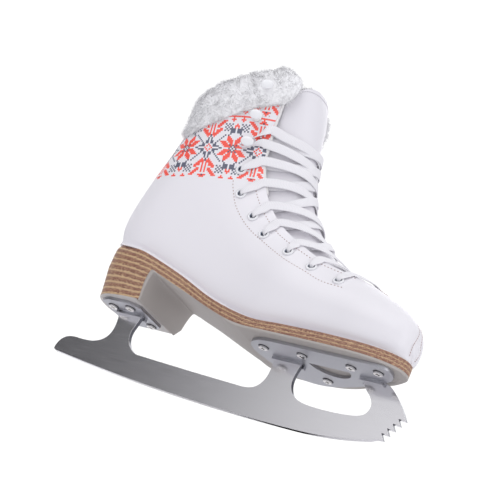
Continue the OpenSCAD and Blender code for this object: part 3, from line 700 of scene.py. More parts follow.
# Angle of the quarter's lowest row, share of its height that is drawn down to the sole,
# and the station up to which the row runs in to the toe seam
LAST_EDGE = 0.42
LAST_TURN = 0.16
TOE_EDGE_S = 0.8
SOLE_INSET = 0.5
SEAM_ROUND = 1.5
GROOVE_DEPTH = 0.35
GROOVE_WIDTH = 0.8
STAY_REACH = 0.42
STAY_T = 0.9
FACING_OUT = 2.3
FACING_T = 1.0
FACING_REACH = 0.42
EYELETS = [(5.28, 2.16), (6.19, 2.14), (7.21, 2.08), (8.28, 1.97), (9.05, 1.95),
           (10.07, 1.93), (11.19, 1.99)]
HOOKS = [(12.44, 1.97), (13.63, 1.91), (15.02, 1.90)]
HOLE_R = 2.7
SIDES = ((INNER, "inner"), (OUTER, "outer"))


def stitch_coordinates(side, s, th):
    """The pattern's u and v at points (s, th) of one side. v runs up the ankle, and u
    is measured round the boot along a row."""
    rows = np.arange(-45, 80, 2.5)
    angles = np.linspace(0, 2.75, 120)
    up = np.array([-math.sin(ROW_TILT), math.cos(ROW_TILT)])
    ahead = np.array([math.cos(ROW_TILT), math.sin(ROW_TILT)])

    def height(p):
        return (p[..., [0, 2]] - STAR_AT) @ up

    table = np.empty((len(rows), len(angles), 3))
    for k, angle in enumerate(angles):
        line = on_last(side, np.linspace(8.5, 17, 160), angle)
        v = np.maximum.accumulate(height(line))
        for axis in range(3):
            table[:, k, axis] = np.interp(rows, v, line[:, axis])
    front = (table[..., [0, 2]] - STAR_AT) @ ahead
    length = np.empty(front.shape)
    for r, line in enumerate(table):
        run = run_along(line)
        length[r] = run - np.interp(0, front[r], run)
    v = height(on_last(side, s, th))
    row = np.clip((v - rows[0]) / (rows[1] - rows[0]), 0, len(rows) - 1.001)
    col = np.clip(th / (angles[1] - angles[0]), 0, len(angles) - 1.001)
    return xyz(lookup(length, row, col), v) / STITCH


def onto_sole(points, s, share, inset):
    """Draws the grid's lowest rows down onto the edge of the sole, inset from it."""
    x, y, _ = np.moveaxis(points, -1, 0)
    from_heel = np.hypot(np.minimum(x - HEEL_MID_X, 0), y)
    turn = np.arctan2(np.abs(y), np.minimum(x - HEEL_MID_X, 0))
    scale = (np.interp(turn, *HEEL_POLAR) - inset) / np.maximum(from_heel, 1)
    at_heel = x < HEEL_MID_X
    inner, outer = outline_sides(x)
    wide = np.where(y < 0, np.minimum(inner + inset, y), np.maximum(outer - inset, y))
    wide = lerp(y, wide, smooth((s - TOE_EDGE_S) / 0.8))
    target = xyz(np.where(at_heel, HEEL_MID_X + (x - HEEL_MID_X) * scale, x),
                 np.where(at_heel, y * scale, wide), feather(x) - 0.3)
    weight = np.clip(1 - share / LAST_TURN, 0, 1) ** 2 * smooth((12.25 - s) / 0.55)
    return lerp(points, target, weight[..., None])


def cut_holes(obj, parts):
    """Cuts the parts out of the piece."""
    cutter = stamp(obj.name + "_cutter", parts)
    cut = obj.modifiers.new("holes", "BOOLEAN")
    cut.operation = "DIFFERENCE"
    cut.solver = "MANIFOLD"
    cut.object = cutter
    bpy.context.view_layer.update()
    graph = bpy.context.evaluated_depsgraph_get()
    mesh = bpy.data.meshes.new_from_object(obj.evaluated_get(graph))
    obj.modifiers.clear()
    obj.data = mesh
    mesh.shade_smooth()
    bpy.data.objects.remove(cutter)


def quarter(side, word):
    """Half of the upper, from the toe seam to the heel seam."""
    rows, tip = 190, 6
    s = np.concatenate([np.zeros(tip), np.linspace(0, TOP_S, rows)])[:, None]
    turn = np.concatenate([np.linspace(0, PI / 2, tip, endpoint=False), np.full(rows, PI / 2)])
    turn = turn[:, None]
    share = 1 - (1 - np.linspace(0, 1, 72)) ** 1.6
    low = LAST_EDGE * smooth((11.7 - s) / 0.9) * smooth(s / TOE_EDGE_S)
    th = lerp(low, edge_angle(s), share)
    close = STATIONS[0][4] * (1 - np.sin(turn))
    from_seam = on_last(side, s, th)[..., 1] - curve(STATIONS, s)[..., 8]
    seam = GROOVE_DEPTH * np.exp(-(from_seam / GROOVE_WIDTH) ** 2) * (th > 1.8) * (s < THROAT_S + 0.2)
    outer = on_last(side, s, th, close + seam, SEAM_GAP)
    outer[..., 0] += close + SEAM_ROUND * np.cos(turn)
    inner = on_last(side, s, th, np.maximum(close, LEATHER_T), SEAM_GAP)
    inner[..., 0] -= LEATHER_T * np.cos(turn)
    obj = shell(word + "_upper", onto_sole(outer, s, share, SOLE_INSET),
                onto_sole(inner, s, share, SOLE_INSET + LEATHER_T))
    uv = stitch_coordinates(side, s, th)
    uv[s[:, 0] < NO_PRINT_BELOW_S, :, 1] = NO_PRINT
    set_uv(obj, "print", np.concatenate([uv, uv * (1, 0) + (0, NO_PRINT)]))
    punch = disc([(HOLE_R, -7), (HOLE_R, 4)], 24)
    cut_holes(obj, [placed(punch, side, e) for e in EYELETS])
    bevel(obj, 0.5, 2, 55)
    return finish_piece(obj, "upper_white", PRINTED, word + "_quarter")


def backstay():
    """The strip over the heel seam."""
    s = np.linspace(11.75, 15.0, 60)[:, None]
    share = np.linspace(-1, 1, 25)
    a = STAY_REACH * np.sqrt(ramp(s, 11.6, 12.1)) * share
    lift = STAY_T * (1 - np.abs(share) ** 8)
    obj = shell("backstay_strip", at_angle(s, a, -0.1 - lift), at_angle(s, a, 0.3))
    return finish_piece(obj, "upper_white", LEATHER_WHITE, "backstay")


def facing(side, word):
    """The strip under the quarter's front edge that carries the eyelets."""
    s = np.linspace(5.1, TOP_S - 0.1, 120)[:, None]
    th = edge_angle(s) - FACING_REACH + 0.40 * np.linspace(0, 1, 12)
    obj = shell(word + "_facing_strip", on_last(side, s, th, FACING_OUT),
                on_last(side, s, th, FACING_OUT + FACING_T))
    bevel(obj, 0.3)
    return finish_piece(obj, "facing_white", LEATHER_WHITE, word + "_facing")


for side, word in SIDES:
    quarter(side, word)
backstay()
for side, word in SIDES:
    facing(side, word)


# ---- Stitches ----

FACING_ROW = [(5.0, 2.05), (5.57, 1.98), (6.25, 2.0), (7.15, 1.96), (8.0, 1.92),
              (8.71, 1.85), (9.25, 1.83), (9.81, 1.84), (10.36, 1.88), (10.9, 1.92)]
TOE_ROW = [(0.3, 0.55), (0.12, 1.2), (0.12, 2.2), (0.4, 2.72), (1.0, 2.94), (1.7, 3.03)]
THROAT_ROW = [(4.12, PI - 0.04), (4.2, PI - 0.16), (4.4, PI - 0.26)]
# A stitch's sections: place along it and thickness, as shares
STITCH_SECTIONS = ((-0.5, 0.35), (-0.3, 1.0), (0.3, 1.0), (0.5, 0.35))
STITCH_LIFT = 0.12


def resample(points, pitch):
    """Points along the polyline at equal spacing, with directions."""
    run = run_along(points)
    at = np.arange(pitch / 2, run[-1], pitch)
    p, q = (np.stack([np.interp(a, run, line) for line in points.T], -1)
            for a in (at, at + 0.2))
    return p, unit(q - p + 1e-9)


def stitch_row(side, places, pitch=2.8, length=1.2, radius=0.28):
    """Thread stitches along a row of (s, th) on one side, as (points, faces) pairs."""
    s, th = curve(places, np.linspace(0, len(places) - 1, 40 * len(places))).T
    line = on_last(side, s, th, -STITCH_LIFT)
    p, t = resample(line, pitch)
    above, _ = resample(line + normal(side, s, th), pitch)
    circle = turns(6)
    parts = []
    for middle, way, top in zip(p, t, above):
        n = unit(top - middle)
        ring = np.outer(np.cos(circle), np.cross(way, n)) + np.outer(np.sin(circle), n)
        rings = [middle + way * x * length + ring * radius * r
                 for x, r in STITCH_SECTIONS]
        parts.append((np.concatenate(rings), tube(4, 6)))
    return parts


def upper_stitches():
    """Rows round the throat, at its foot, and beside the toe seam."""
    s = np.linspace(5.05, 13.7, 34)
    edge_row = xyz(s, edge_angle(s) - 0.11)
    parts = []
    for side in (INNER, OUTER):
        parts += stitch_row(side, edge_row) + stitch_row(side, FACING_ROW)
        parts += stitch_row(side, TOE_ROW, 1.9) + stitch_row(side, THROAT_ROW, 1.6)
    return finish_piece(stamp("upper_stitches", parts), "upper_white", THREAD)


upper_stitches()

# ---- Fur ----

GRAVITY = np.array([0, 0, -1.0])


def tufts(name, roots, ways, length, width, seed, droop=0.2, curl=0.3, slot="fur",
          body="boot"):
    """Tapered fibres, each a bent three-sided spike closed at its root."""
    rng = np.random.default_rng(seed)
    n = len(roots)
    t = unit(ways + rng.normal(size=(n, 3)) * FIBRE_SCATTER)
    size = length * rng.uniform(0.6, 1.15, (n, 1))
    bend = unit(rng.normal(size=(n, 3))) * curl + GRAVITY * droop
    a = unit(np.cross(t, rng.normal(size=(n, 3))))
    b = np.cross(t, a)
    points = np.empty((n, 10, 3))
    for k, level in enumerate((0.0, 0.4, 0.75)):
        centre = roots + t * size * level + bend * size * level ** 2
        radius = width * rng.uniform(0.8, 1.2, (n, 1)) * (1 - level) ** 0.7
        for j, turn in enumerate(turns(3)):
            points[:, 3 * k + j] = centre + radius * (math.cos(turn) * a + math.sin(turn) * b)
    points[:, 9] = roots + t * size + bend * size
    spike = [[2, 1, 0]]
    for j, nxt in ((0, 1), (1, 2), (2, 0)):
        spike += [[j, nxt, 3 + nxt, 3 + j], [3 + j, 3 + nxt, 6 + nxt, 6 + j], [6 + j, 6 + nxt, 9]]
    faces = [[i + 10 * k for i in face] for k in range(n) for face in spike]
    return finish_piece(make(name, points, faces, closed_mesh=False), slot, FUR, body=body)


FUR_REACH = 2.26
FUR_SWELL = 0.22
FUR_LOW_BACK = 14.95
FUR_LOW_SIDE = 14.12
FUR_FRONT_DROP = 0.2
FUR_FAR_DROP = 0.9
FUR_HIGH = 15.8
# The roll's section: share of the height from its lower edge, and depth; the first ten
# points carry fibres
FUR_RING = [[0.03, -0.2], [0.03, -1.2], [0.2, -1.5], [0.45, -1.6], [0.7, -1.6], [0.9, -1.4],
            [1.0, -0.8], [1.05, 1.0], [1.02, 3.2], [0.92, 4.8], [0.66, 5.6], [0.45, 5.6],
            [0.6, 4.0], [0.93, 2.6], [0.97, 0.8], [0.93, -0.1], [0.6, -0.2], [0.3, -0.2]]
FUR_COVERED = 10
FUR_STEPS = 4
FIBRE = 4.0
FIBRE_WIDTH = 0.17
FIBRE_SCATTER = 0.28
FUR_SHEETS = 3
FIBRES = 7500
# Fibres keep this far from the top hooks
HOOK_CLEAR = 7.0


def fur_rings(count):
    """The roll's sections from one front end round the back to the other."""
    up, depth = closed(FUR_RING, FUR_STEPS).T
    t = np.linspace(-1, 1, count)[:, None]
    swell = ramp(np.abs(t), 0.82, 1) ** 2 * np.sin(PI * np.clip(up, 0, 1))
    a = t * FUR_REACH + np.sign(t) * FUR_SWELL * swell ** 0.6
    drop = np.where(a > 0, FUR_FAR_DROP, FUR_FRONT_DROP) * smooth((np.abs(a) - 1.7) / 0.6)
    low = lerp(FUR_LOW_BACK, FUR_LOW_SIDE, smooth((np.abs(a) - 0.3) / 0.8)) - drop
    rings = at_angle(lerp(low, FUR_HIGH, up), a, depth)
    end = ramp(np.abs(t), 0.97, 1)[..., None]
    middle = rings.mean(1, keepdims=True)
    return middle + (rings - middle) * (1 - 0.55 * end ** 2)


def fur_collar():
    """The cuff: a soft roll with fibres all over its outside, top and inside."""
    count = 150
    rings = fur_rings(count)
    outward = unit(rings - rings.mean(1, keepdims=True))
    lumps = noise3(rings, 16, 3) * 0.45 + noise3(rings, 6, 4) * 0.25
    rings = rings + outward * lumps[..., None]
    finish_piece(loft("fur_roll", rings), "fur", FUR, "fur_collar", fill=0.5)

    across, round_ring = np.gradient(rings, axis=0), np.roll(rings, -1, 1) - np.roll(rings, 1, 1)
    normals = unit(np.cross(across, round_ring))
    normals *= np.sign((normals * outward).sum(-1, keepdims=True))
    grids = (rings, normals, across, unit(-round_ring))
    for sheet in range(FUR_SHEETS):
        rng = np.random.default_rng(11 + sheet)
        i = rng.uniform(0, count - 1.001, FIBRES)
        j = rng.uniform(0.5, FUR_COVERED, FIBRES) * FUR_STEPS
        roots, out, forward, down = (lookup(grid, i, j) for grid in grids)
        forward = unit(forward * np.sign(i - count / 2)[:, None])
        ends = ramp(np.abs(i / (count - 1) * 2 - 1), 0.955, 1)[:, None]
        clump = np.stack([noise3(roots, 10, 20 + k) for k in range(3)], -1)
        way = unit(unit(out) * 0.75 + forward * ends * 1.3 + clump * 0.6 + down * 0.3)
        keep = np.ones(FIBRES, bool)
        for side in (INNER, OUTER):
            keep &= np.linalg.norm(roots - on_last(side, *HOOKS[2]), axis=1) > HOOK_CLEAR
        tufts(f"fur_fibres_{sheet + 1}", roots[keep] - way[keep] * 0.5, way[keep], FIBRE,
              FIBRE_WIDTH, 12 + sheet)


fur_collar()

# ---- Lining and footbed ----

ROLL_R = 1.7
ROLL_DEPTH = 2.0
ROLL_AHEAD = 0.9
LINING_OUT = 4.0
LINING_T = 2.8
LINING_EDGE_T = 0.6
PILE = 3.2
PILE_WIDTH = 0.2
PILE_FIBRES = 2600


def ahead_of(side, s, th):
    """Direction round the boot towards the front."""
    return unit(on_last(side, s, th + 0.05) - on_last(side, s, th))


def plush_roll(side, word):
    """The lining's turned edge, a soft roll along the facing's front edge."""
    s = np.linspace(9.6, 15.2, 90)
    th = edge_angle(s)
    ahead, out = ahead_of(side, s, th)[:, None], normal(side, s, th)[:, None]
    turn = turns(14)[:, None]
    radius = ROLL_R * np.sqrt(np.clip(np.minimum(s - 9.58, 15.22 - s) / 0.3, 0.02, 1))
    middle = on_last(side, s, th, ROLL_DEPTH)[:, None] + ahead * ROLL_AHEAD
    ray = radius[:, None, None] * (ahead * np.cos(turn) + out * np.sin(turn))
    soft = noise3(middle + ray, 5, 44) * 0.15
    obj = loft(word + "_plush_roll", middle + ray * (1 + soft / ROLL_R)[..., None])
    return finish_piece(obj, "plush_lining", PLUSH_WHITE)


def plush_edge():
    """Short pile that shows past the facings' front edges."""
    rng = np.random.default_rng(31)
    roots, ways = [], []
    for side in (INNER, OUTER):
        s = 9.4 + 6.0 * rng.uniform(0, 1, PILE_FIBRES) ** 0.7
        th = edge_angle(s) - rng.uniform(0.0, 0.05, len(s))
        roots.append(on_last(side, s, th, 1.6 + rng.uniform(0, 3.6, len(s))))
        out = normal(side, s, th) * rng.uniform(-0.3, 0.5, (len(s), 1))
        ways.append(ahead_of(side, s, th) - out)
    return tufts("facing_plush", np.concatenate(roots), unit(np.concatenate(ways)), PILE,
                 PILE_WIDTH, 32, 0.1, 0.3, slot="plush_lining")


def lining(side, word):
    """Plush lining of one half, its surface gently uneven."""
    s = np.linspace(0.9, 15.4, 150)[:, None]
    share = np.linspace(0, 1, 44)
    low = 0.9 * smooth((11.9 - s) / 1.2)
    high = np.minimum(PI, edge_angle(s + 0.8) - 0.55 * smooth((s - 3.1) / 0.7))
    th = lerp(low, high, share)
    edge = ramp(np.minimum(share, 1 - share), 0, 0.04)
    depth = lerp(LINING_EDGE_T, LINING_T, np.where(share > 0.5, edge, 1))
    outer = on_last(side, s, th, LINING_OUT, SEAM_GAP)
    soft = noise3(outer, 9, 40) * 0.25
    inner = on_last(side, s, th, LINING_OUT + depth + soft, SEAM_GAP)
    obj = shell(word + "_plush", outer, inner)
    return finish_piece(obj, "plush_lining", PLUSH_WHITE, word + "_lining", fill=0.7)


for side, word in SIDES:
    plush_roll(side, word)
plush_edge()
for side, word in SIDES:
    lining(side, word)
footbed = bevelled_copy("footbed_foam", "footbed", 1.2, 3)
finish_piece(footbed, "footbed_fabric", PLUSH_WHITE, "footbed", fill=0.9)

# ---- Tongue ----

TONGUE_S0 = 4.6
TONGUE_S1 = 15.25
TONGUE_DEEP = 6.0
TONGUE_RIDGE = 4.5
TONGUE_T = 1.6
PAD_T = 5.0
PAD_EDGE_T = 0.4
PAD_SHARE = 0.97
FRINGE_FIBRES = 4200


def tongue_reach(s):
    """Half of the tongue's width, as an angle."""
    wide = np.maximum(0.45, throat(s) + lerp(0.12, -0.04, smooth((s - 12.0) / 1.2)))
    round_top = ramp(s, 13.9, TONGUE_S1 + 0.03)
    round_low = 1 - ramp(s, TONGUE_S0 - 0.05, 5.4)
    return wide * np.sqrt(1 - round_top ** 2.6) * np.sqrt(1 - 0.5 * round_low ** 2)


def tongue_depth(s, a):
    return lerp(TONGUE_DEEP, TONGUE_RIDGE, smooth((throat(s) - np.abs(a)) / 0.5))


def on_ridge(s, a, off):
    return on_last(np.where(a < 0, INNER, OUTER), s, PI - np.abs(a), off)


def over_fold(obj):
    """Bakes the placement of a piece that rides on no body into its mesh."""
    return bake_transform(obj)


def tongue_grid():
    s = np.concatenate([np.linspace(TONGUE_S0, 14.6, 140), np.linspace(14.61, TONGUE_S1, 26)])
    return s[:, None], tongue_reach(s)[:, None] * np.linspace(-1, 1, 41)


def tongue_leather():
    s, a = tongue_grid()
    depth = tongue_depth(s, a)
    rim = ramp(np.abs(a) / tongue_reach(s), 0.9, 1) ** 2 * 0.5
    obj = shell("tongue_face", on_ridge(s, a, depth + rim), on_ridge(s, a, depth + TONGUE_T))
    return over_fold(finish_piece(obj, "tongue_leather", TONGUE_LEATHER, "tongue", "tongue_top",
                                  body=None))


def tongue_padding():
    s, a = tongue_grid()
    a = a * PAD_SHARE
    s = np.minimum(s, TONGUE_S1 - 0.02)
    depth = tongue_depth(s, a) + TONGUE_T + 0.05
    share = np.abs(a) / (tongue_reach(s) * PAD_SHARE + 1e-6)
    ends = ramp(s, TONGUE_S0, TONGUE_S0 + 0.3) * (1 - ramp(s, TONGUE_S1 - 0.3, TONGUE_S1))
    crown = np.sqrt(np.clip(1 - share ** 5, 0, 1)) * np.sqrt(np.maximum(ends, 0.02))
    outer = on_ridge(s, a, depth)
    soft = noise3(outer, 10, 50) * 0.2
    obj = shell("tongue_pad", outer, on_ridge(s, a, depth + lerp(PAD_EDGE_T, PAD_T, crown) + soft))
    return over_fold(finish_piece(obj, "plush_lining", PLUSH_WHITE, "tongue_padding",
                                  "tongue_top_padding", body=None, fill=0.7))


def tongue_fringe():
    """Pile round the tongue's top edge."""
    rng = np.random.default_rng(61)
    n = FRINGE_FIBRES
    s = rng.uniform(12.6, TONGUE_S1, n)
    top = rng.uniform(size=n) < 0.5
    a = tongue_reach(s) * rng.choice([-1, 1], n) * rng.uniform(0.96, 1.0, n)
    across = rng.uniform(-1, 1, n)
    s = np.where(top, TONGUE_S1 - 0.05 - 0.62 * np.abs(across) ** 4.2, s)
    a = np.where(top, across * tongue_reach(np.full(n, 14.4)) * 0.93, a)
    depth = tongue_depth(s, a) + TONGUE_T + rng.uniform(0.2, 3.6, n)
    roots = on_ridge(s, a, depth)
    up = unit(on_ridge(s + 0.1, a, depth) - roots)
    side = np.zeros((n, 3))
    side[:, 1] = np.sign(a) * np.abs(a / 0.9) ** 2
    out = unit(np.where(top[:, None], up + side * 0.5, side + up * 0.3))
    return over_fold(tufts("tongue_fringe", roots, out, PILE, PILE_WIDTH, 62, 0.15, 0.35,
                           slot="plush_lining", body=None))


def tongue_stitches():
    """The seam just inside the tongue's top edge."""
    share = np.linspace(-0.86, 0.86, 160)
    s = 14.98 - 0.75 * np.abs(share) ** 5
    a = share * tongue_reach(14.2)
    depth = tongue_depth(s, a)
    p, t = resample(on_ridge(s, a, depth - 0.1), 2.0)
    above, _ = resample(on_ridge(s, a, depth - 1.1), 2.0)
    box = np.array([[x, y, z] for x in (-0.7, 0.7) for y in (-0.22, 0.22) for z in (-0.22, 0.15)])
    faces = [[0, 1, 3, 2], [4, 6, 7, 5], [0, 4, 5, 1], [2, 3, 7, 6], [0, 2, 6, 4], [1, 5, 7, 3]]
    parts = []
    for middle, way, top in zip(p, t, above):
        b = unit(np.cross(unit(top - middle), way))
        parts.append((middle + box @ np.stack([way, b, np.cross(way, b)]), faces))
    obj = stamp("tongue_stitches", parts)
    return over_fold(finish_piece(obj, "tongue_leather", PALE_THREAD, body=None))


tongue_leather()
tongue_padding()
tongue_fringe()
tongue_stitches()

# ---- Eyelets and hooks ----

EYELET_RING = [(2.4, -3.7), (2.75, -3.7), (2.75, 0.0), (4.3, 0.0), (4.4, 0.4), (4.15, 0.95),
               (3.5, 1.35), (2.9, 1.3), (2.5, 0.85), (2.4, 0.2)]
EYELET_BARREL = [(2.12, -3.75), (2.42, -3.75), (2.42, 0.7), (2.12, 0.5)]
HOOK_HEAD = [(0.3, 5.2), (3.6, 5.2), (4.5, 5.35), (4.8, 5.7), (4.7, 6.1), (4.0, 6.45),
             (2.4, 6.63), (0.3, 6.7)]
HOOK_OVAL = (0.84, 1.1, 1)
HOOK_SHANK = [(0.3, -4), (1.5, -4), (1.5, 0.2), (3.4, 0.3), (3.6, 0.6), (3.4, 0.95),
              (1.9, 1.15), (1.45, 1.6), (1.35, 4.1), (1.9, 5.0), (0.3, 5.25)]


def eyelets(side, word):
    name = word + "_eyelet_rings"
    rings = stamp(name, [placed(lathe(EYELET_RING, 40), side, e) for e in EYELETS])
    finish_piece(rings, "eyelet_white", ENAMEL, word + "_eyelets")
    barrels = stamp(name + "_barrels", [placed(lathe(EYELET_BARREL), side, e) for e in EYELETS])
    return finish_piece(barrels, "eyelet_white", DARK_STEEL)


def hooks(side, word):
    """Rounded oval heads on steel shanks, each on a small round base."""
    name = word + "_hook_heads"
    heads = stamp(name, [placed(disc(HOOK_HEAD, 40), side, h, HOOK_OVAL) for h in HOOKS])
    finish_piece(heads, "hook_white", ENAMEL, word + "_hooks")
    shanks = stamp(name + "_shanks", [placed(disc(HOOK_SHANK), side, h) for h in HOOKS])
    return finish_piece(shanks, "hook_white", SCREW_STEEL)


for fitting in (eyelets, hooks):
    for side, word in SIDES:
        fitting(side, word)


# ---- Lace ----

# Each row of the route: side, station, angle, depth, width, twist in degrees, and how
# it lies: 0 round the boot, 1 along the shaft, PLUMB where the depth is measured
# straight down from the surface, as in an eyelet.
PLUMB = -1
LACE_W = 7.6
LACE_T = 1.1
OVER = -1
UNDER = 4.2
LOW_CROSS = TONGUE_RIDGE - LACE_T / 2 - 1.4
HIGH_CROSS = LOW_CROSS - LACE_T - 0.15
HOLE_W = 2.6
DIPS = [0.35, 0.7, 0.85, 0.8, 0.7, 1.0]
HOOK_DIP = 1.3
BAR_DIP = 0.45
HOOK_SPREAD = 0.33
TUCK_S = 12.35
STRAP_STEPS = 11


def strap(a, s0, d0, s1, d1, ridge, dip, twist):
    """Rows across the throat from depth d0 at side a to depth d1 on the other side."""
    rows = []
    for k in range(1, STRAP_STEPS):
        u = k / STRAP_STEPS
        near = u <= 0.5
        end_s, depth = (s0, d0) if near else (s1, d1)
        s = lerp(s0, s1, u) - dip * 4 * u * (1 - u)
        r = float(throat(end_s)) * abs(1 - 2 * u)
        d = lerp(ridge, depth, float(smooth(abs(1 - 2 * u))))
        rows.append([a if near else -a, s, PI - r, d, LACE_W, twist, 0])
    return rows


def through(side, i):
    """Rows down through an eyelet from above the facing to below it."""
    s, e = EYELETS[i]
    edge = float(edge_angle(s))
    rows = [[edge - 0.01, OVER, LACE_W, 0, 0],
            [lerp(e, edge, 0.62), OVER - 0.25, LACE_W, 0, 0],
            [e + 0.075, OVER - 0.95, 6, 0, PLUMB],
            [e + 0.02, OVER - 0.75, 4.3, 0, PLUMB],
            [e, 0, 3.4, 0, PLUMB],
            [e, 2.4, HOLE_W, 0, PLUMB],
            [e + 0.02, 4.2, HOLE_W, 0, PLUMB],
            [e + 0.075, 4.5, 4, 0, PLUMB],
            [lerp(e, edge, 0.62), 4.25, LACE_W * 0.85, 0, 0],
            [edge - 0.01, UNDER, LACE_W, 0, 0]]
    return [[side, s, *row] for row in rows]


def round_hook(side):
    """Rows round the lowest hook, under its head, the upper half mirroring the lower."""
    s, e = HOOKS[0]
    half = [[HOOK_SPREAD, float(edge_angle(s)) - 0.02, OVER, LACE_W, 0, 0],
            [0.24, e + 0.14, OVER - 1.3, 5.4, 20, 0],
            [0.17, e + 0.055, -2.6, 2.9, 60, PLUMB],
            [0.13, e - 0.03, -2.8, 2.6, 82, PLUMB]]
    low = [[side, s - ds, *rest] for ds, *rest in half]
    high = [[side, s + ds, th, d, w, 180 - twist, lie] for ds, th, d, w, twist, lie in half[::-1]]
    return [*low, [side, s, e - 0.075, -2.8, 2.6, 90, PLUMB], *high]


def tucked(side):
    """Rows of the free end, behind the facing and down the inside of the shaft."""
    edge = float(edge_angle(TUCK_S))
    rows = [[TUCK_S, edge, UNDER, LACE_W, 0],
            [TUCK_S, edge - 0.14, 4.5, LACE_W, 0],
            [TUCK_S - 0.05, 1.9, 5.1, LACE_W, 0],
            [TUCK_S - 0.12, 1.75, 6.2, LACE_W, 0],
            [TUCK_S - 0.28, 1.61, 7.9, LACE_W, 0.35],
            [TUCK_S - 0.55, 1.51, 8, LACE_W, 0.75],
            [11.4, 1.46, 8, LACE_W, 1],
            [11, 1.44, 8, LACE_W, 1],
            [10.5, 1.42, 8.1, LACE_W, 1],
            [10, 1.41, 8.2, LACE_W, 1],
            [9.5, 1.4, 8.4, 5.4, 1],
            [9.2, 1.4, 8.7, 2.6, 1]]
    return [[side, s, th, d, w, 180, lie] for s, th, d, w, lie in rows]


def half_lace(side, ridge):
    """Rows from the bottom bar up to the tucked end of one side."""
    rows = []
    ahead = [s for s, _ in EYELETS[1:]] + [HOOKS[0][0] - HOOK_SPREAD]
    for i, dip in enumerate([*DIPS, HOOK_DIP]):
        a = side if i % 2 == 0 else -side
        rows += through(a, i)
        rows += strap(a, EYELETS[i][0], UNDER, ahead[i], OVER, ridge, dip, 0)
    rows += round_hook(-side)
    rows += strap(-side, HOOKS[0][0] + HOOK_SPREAD, OVER, TUCK_S, UNDER, ridge, HOOK_DIP, 180)
    return rows + tucked(side)


def lace_route():
    first = EYELETS[0][0]
    bar = strap(INNER, first, OVER, first, OVER, OVER, BAR_DIP, 0)
    return np.array(half_lace(INNER, HIGH_CROSS)[::-1] + bar + half_lace(OUTER, LOW_CROSS), float)


def square_to(w, t):
    """The part of w across t, of length 1."""
    return unit(w - t * (w * t).sum(-1, keepdims=True))


def lace():
    """The flat braid along its whole route, with soft rounded edges."""
    route = lace_route()
    side, s, th, depth, width, twist, lie = route.T
    n = normal(side, s, th)
    points = np.where((lie == PLUMB)[:, None], on_last(side, s, th) - n * depth[:, None],
                      on_last(side, s, th, depth))
    tangent = unit(np.concatenate([points[1:], points[-1:]])
                   - np.concatenate([points[:1], points[:-1]]))
    dth = unit(on_last(side, s, th + 0.03) - on_last(side, s, th - 0.03))
    lay = np.maximum(lie, 0)[:, None]
    c, sn = np.cos(np.radians(twist))[:, None], np.sin(np.radians(twist))[:, None]
    flat = square_to(lerp(along(side, s, th) * c + n * sn, dth, lay), tangent)
    fine = np.linspace(0, len(route) - 1, 5 * (len(route) - 1) + 1)
    p = curve(points, fine)
    half = np.clip(curve(width, fine), HOLE_W, LACE_W)[:, None] / 2
    t = unit(np.gradient(p, axis=0))
    w = square_to(curve(flat, fine), t)
    turn = turns(16)
    x = np.sign(np.cos(turn)) * np.abs(np.cos(turn)) ** 0.55
    y = np.sign(np.sin(turn)) * np.abs(np.sin(turn)) ** 0.8
    rings = (p[:, None] + w[:, None] * (half * x)[..., None]
             + np.cross(t, w)[:, None] * (LACE_T / 2 * y)[:, None])
    obj = loft("braided_lace", rings)
    run = run_along(p)
    set_uv(obj, "weave", xyz(run[:, None], (x + 1) / 2))
    finish_piece(obj, "lace_fabric", LACE, "lace")
    return run[-1]


print(f"lace length {lace():.0f} mm between its tips")
finish_piece(bevelled_copy("lace_aglets", "lace_tips", 0.3), "aglet", AGLET, "lace_tips")

# ---- Sole and heel ----


def rounded_ends(x0, x1, count, tail=0.25):
    """Values of x from x0 to x1, close together at round ends."""
    t = np.linspace(0, 1, count)
    return lerp(x0, x1, lerp(t, (1 - np.cos(PI * t)) / 2, 1 - tail))


def layer_number(x, z):
    """Which layer of the stack a point lies in, counted down from the feather line."""
    waist = np.interp(x, [-146, -92], [3.6, 2.9])
    middle = (feather(x) - z) / waist
    heel = HEEL_LAYERS * (feather(x) - z) / (feather(x) - TOP_PIECE_LOW)
    return lerp(heel, middle, smooth((x + 150) / 12))


def heel_scale(z):
    share = np.clip((z - HEEL_BOTTOM) / (LIFTS_TOP - HEEL_BOTTOM), 0, 1)
    return 0.008 + lerp(HEEL_LOW_SCALE, 1, share)


def band(name, x, low, high, is_heel, rows, nodes):
    """A band of the stack between two heights, with its layers as a UV map."""
    x = x[:, None]
    inner, outer = outline_sides(x)
    z = lerp(low[:, None], high[:, None], np.linspace(0, 1, rows))
    k = heel_scale(z) if is_heel else np.ones_like(z)
    xs = np.where(x < HEEL_MID_X, HEEL_MID_X + (x - HEEL_MID_X) * lerp(1, k, 0.4), x)
    near_top = np.clip((z - feather(x) + 7) / 7, 0, 1) ** 1.6
    tuck = TOP_TUCK * near_top * smooth((HEEL_MID_X + 12 - x) / 22)
    xs = xs + tuck
    if is_heel:
        lean = np.interp(z, BREAST_REAR[:, 1], BREAST_REAR[:, 0]) - BREAST_BACK
        xs = xs + lean * smooth((x - BREAST_BACK + 8) / 8)
    k = k * (1 - tuck / 36)
    rings = np.concatenate([xyz(xs, inner * k, z), xyz(xs, outer * k, z)[:, ::-1]], axis=1)
    obj = loft(name, rings)
    brown = np.interp(rings[..., 0], [-150, -40], [0.66, 0.78])
    set_uv(obj, "layers", xyz(layer_number(rings[..., 0], rings[..., 2]), brown))
    bevel(obj, 0.35)
    return finish_piece(obj, "stack_brown", STACK, *nodes)


SOLE_BACK = -192.9
SOLE_NOSE = 83.9
BREAST_FRONT = -138
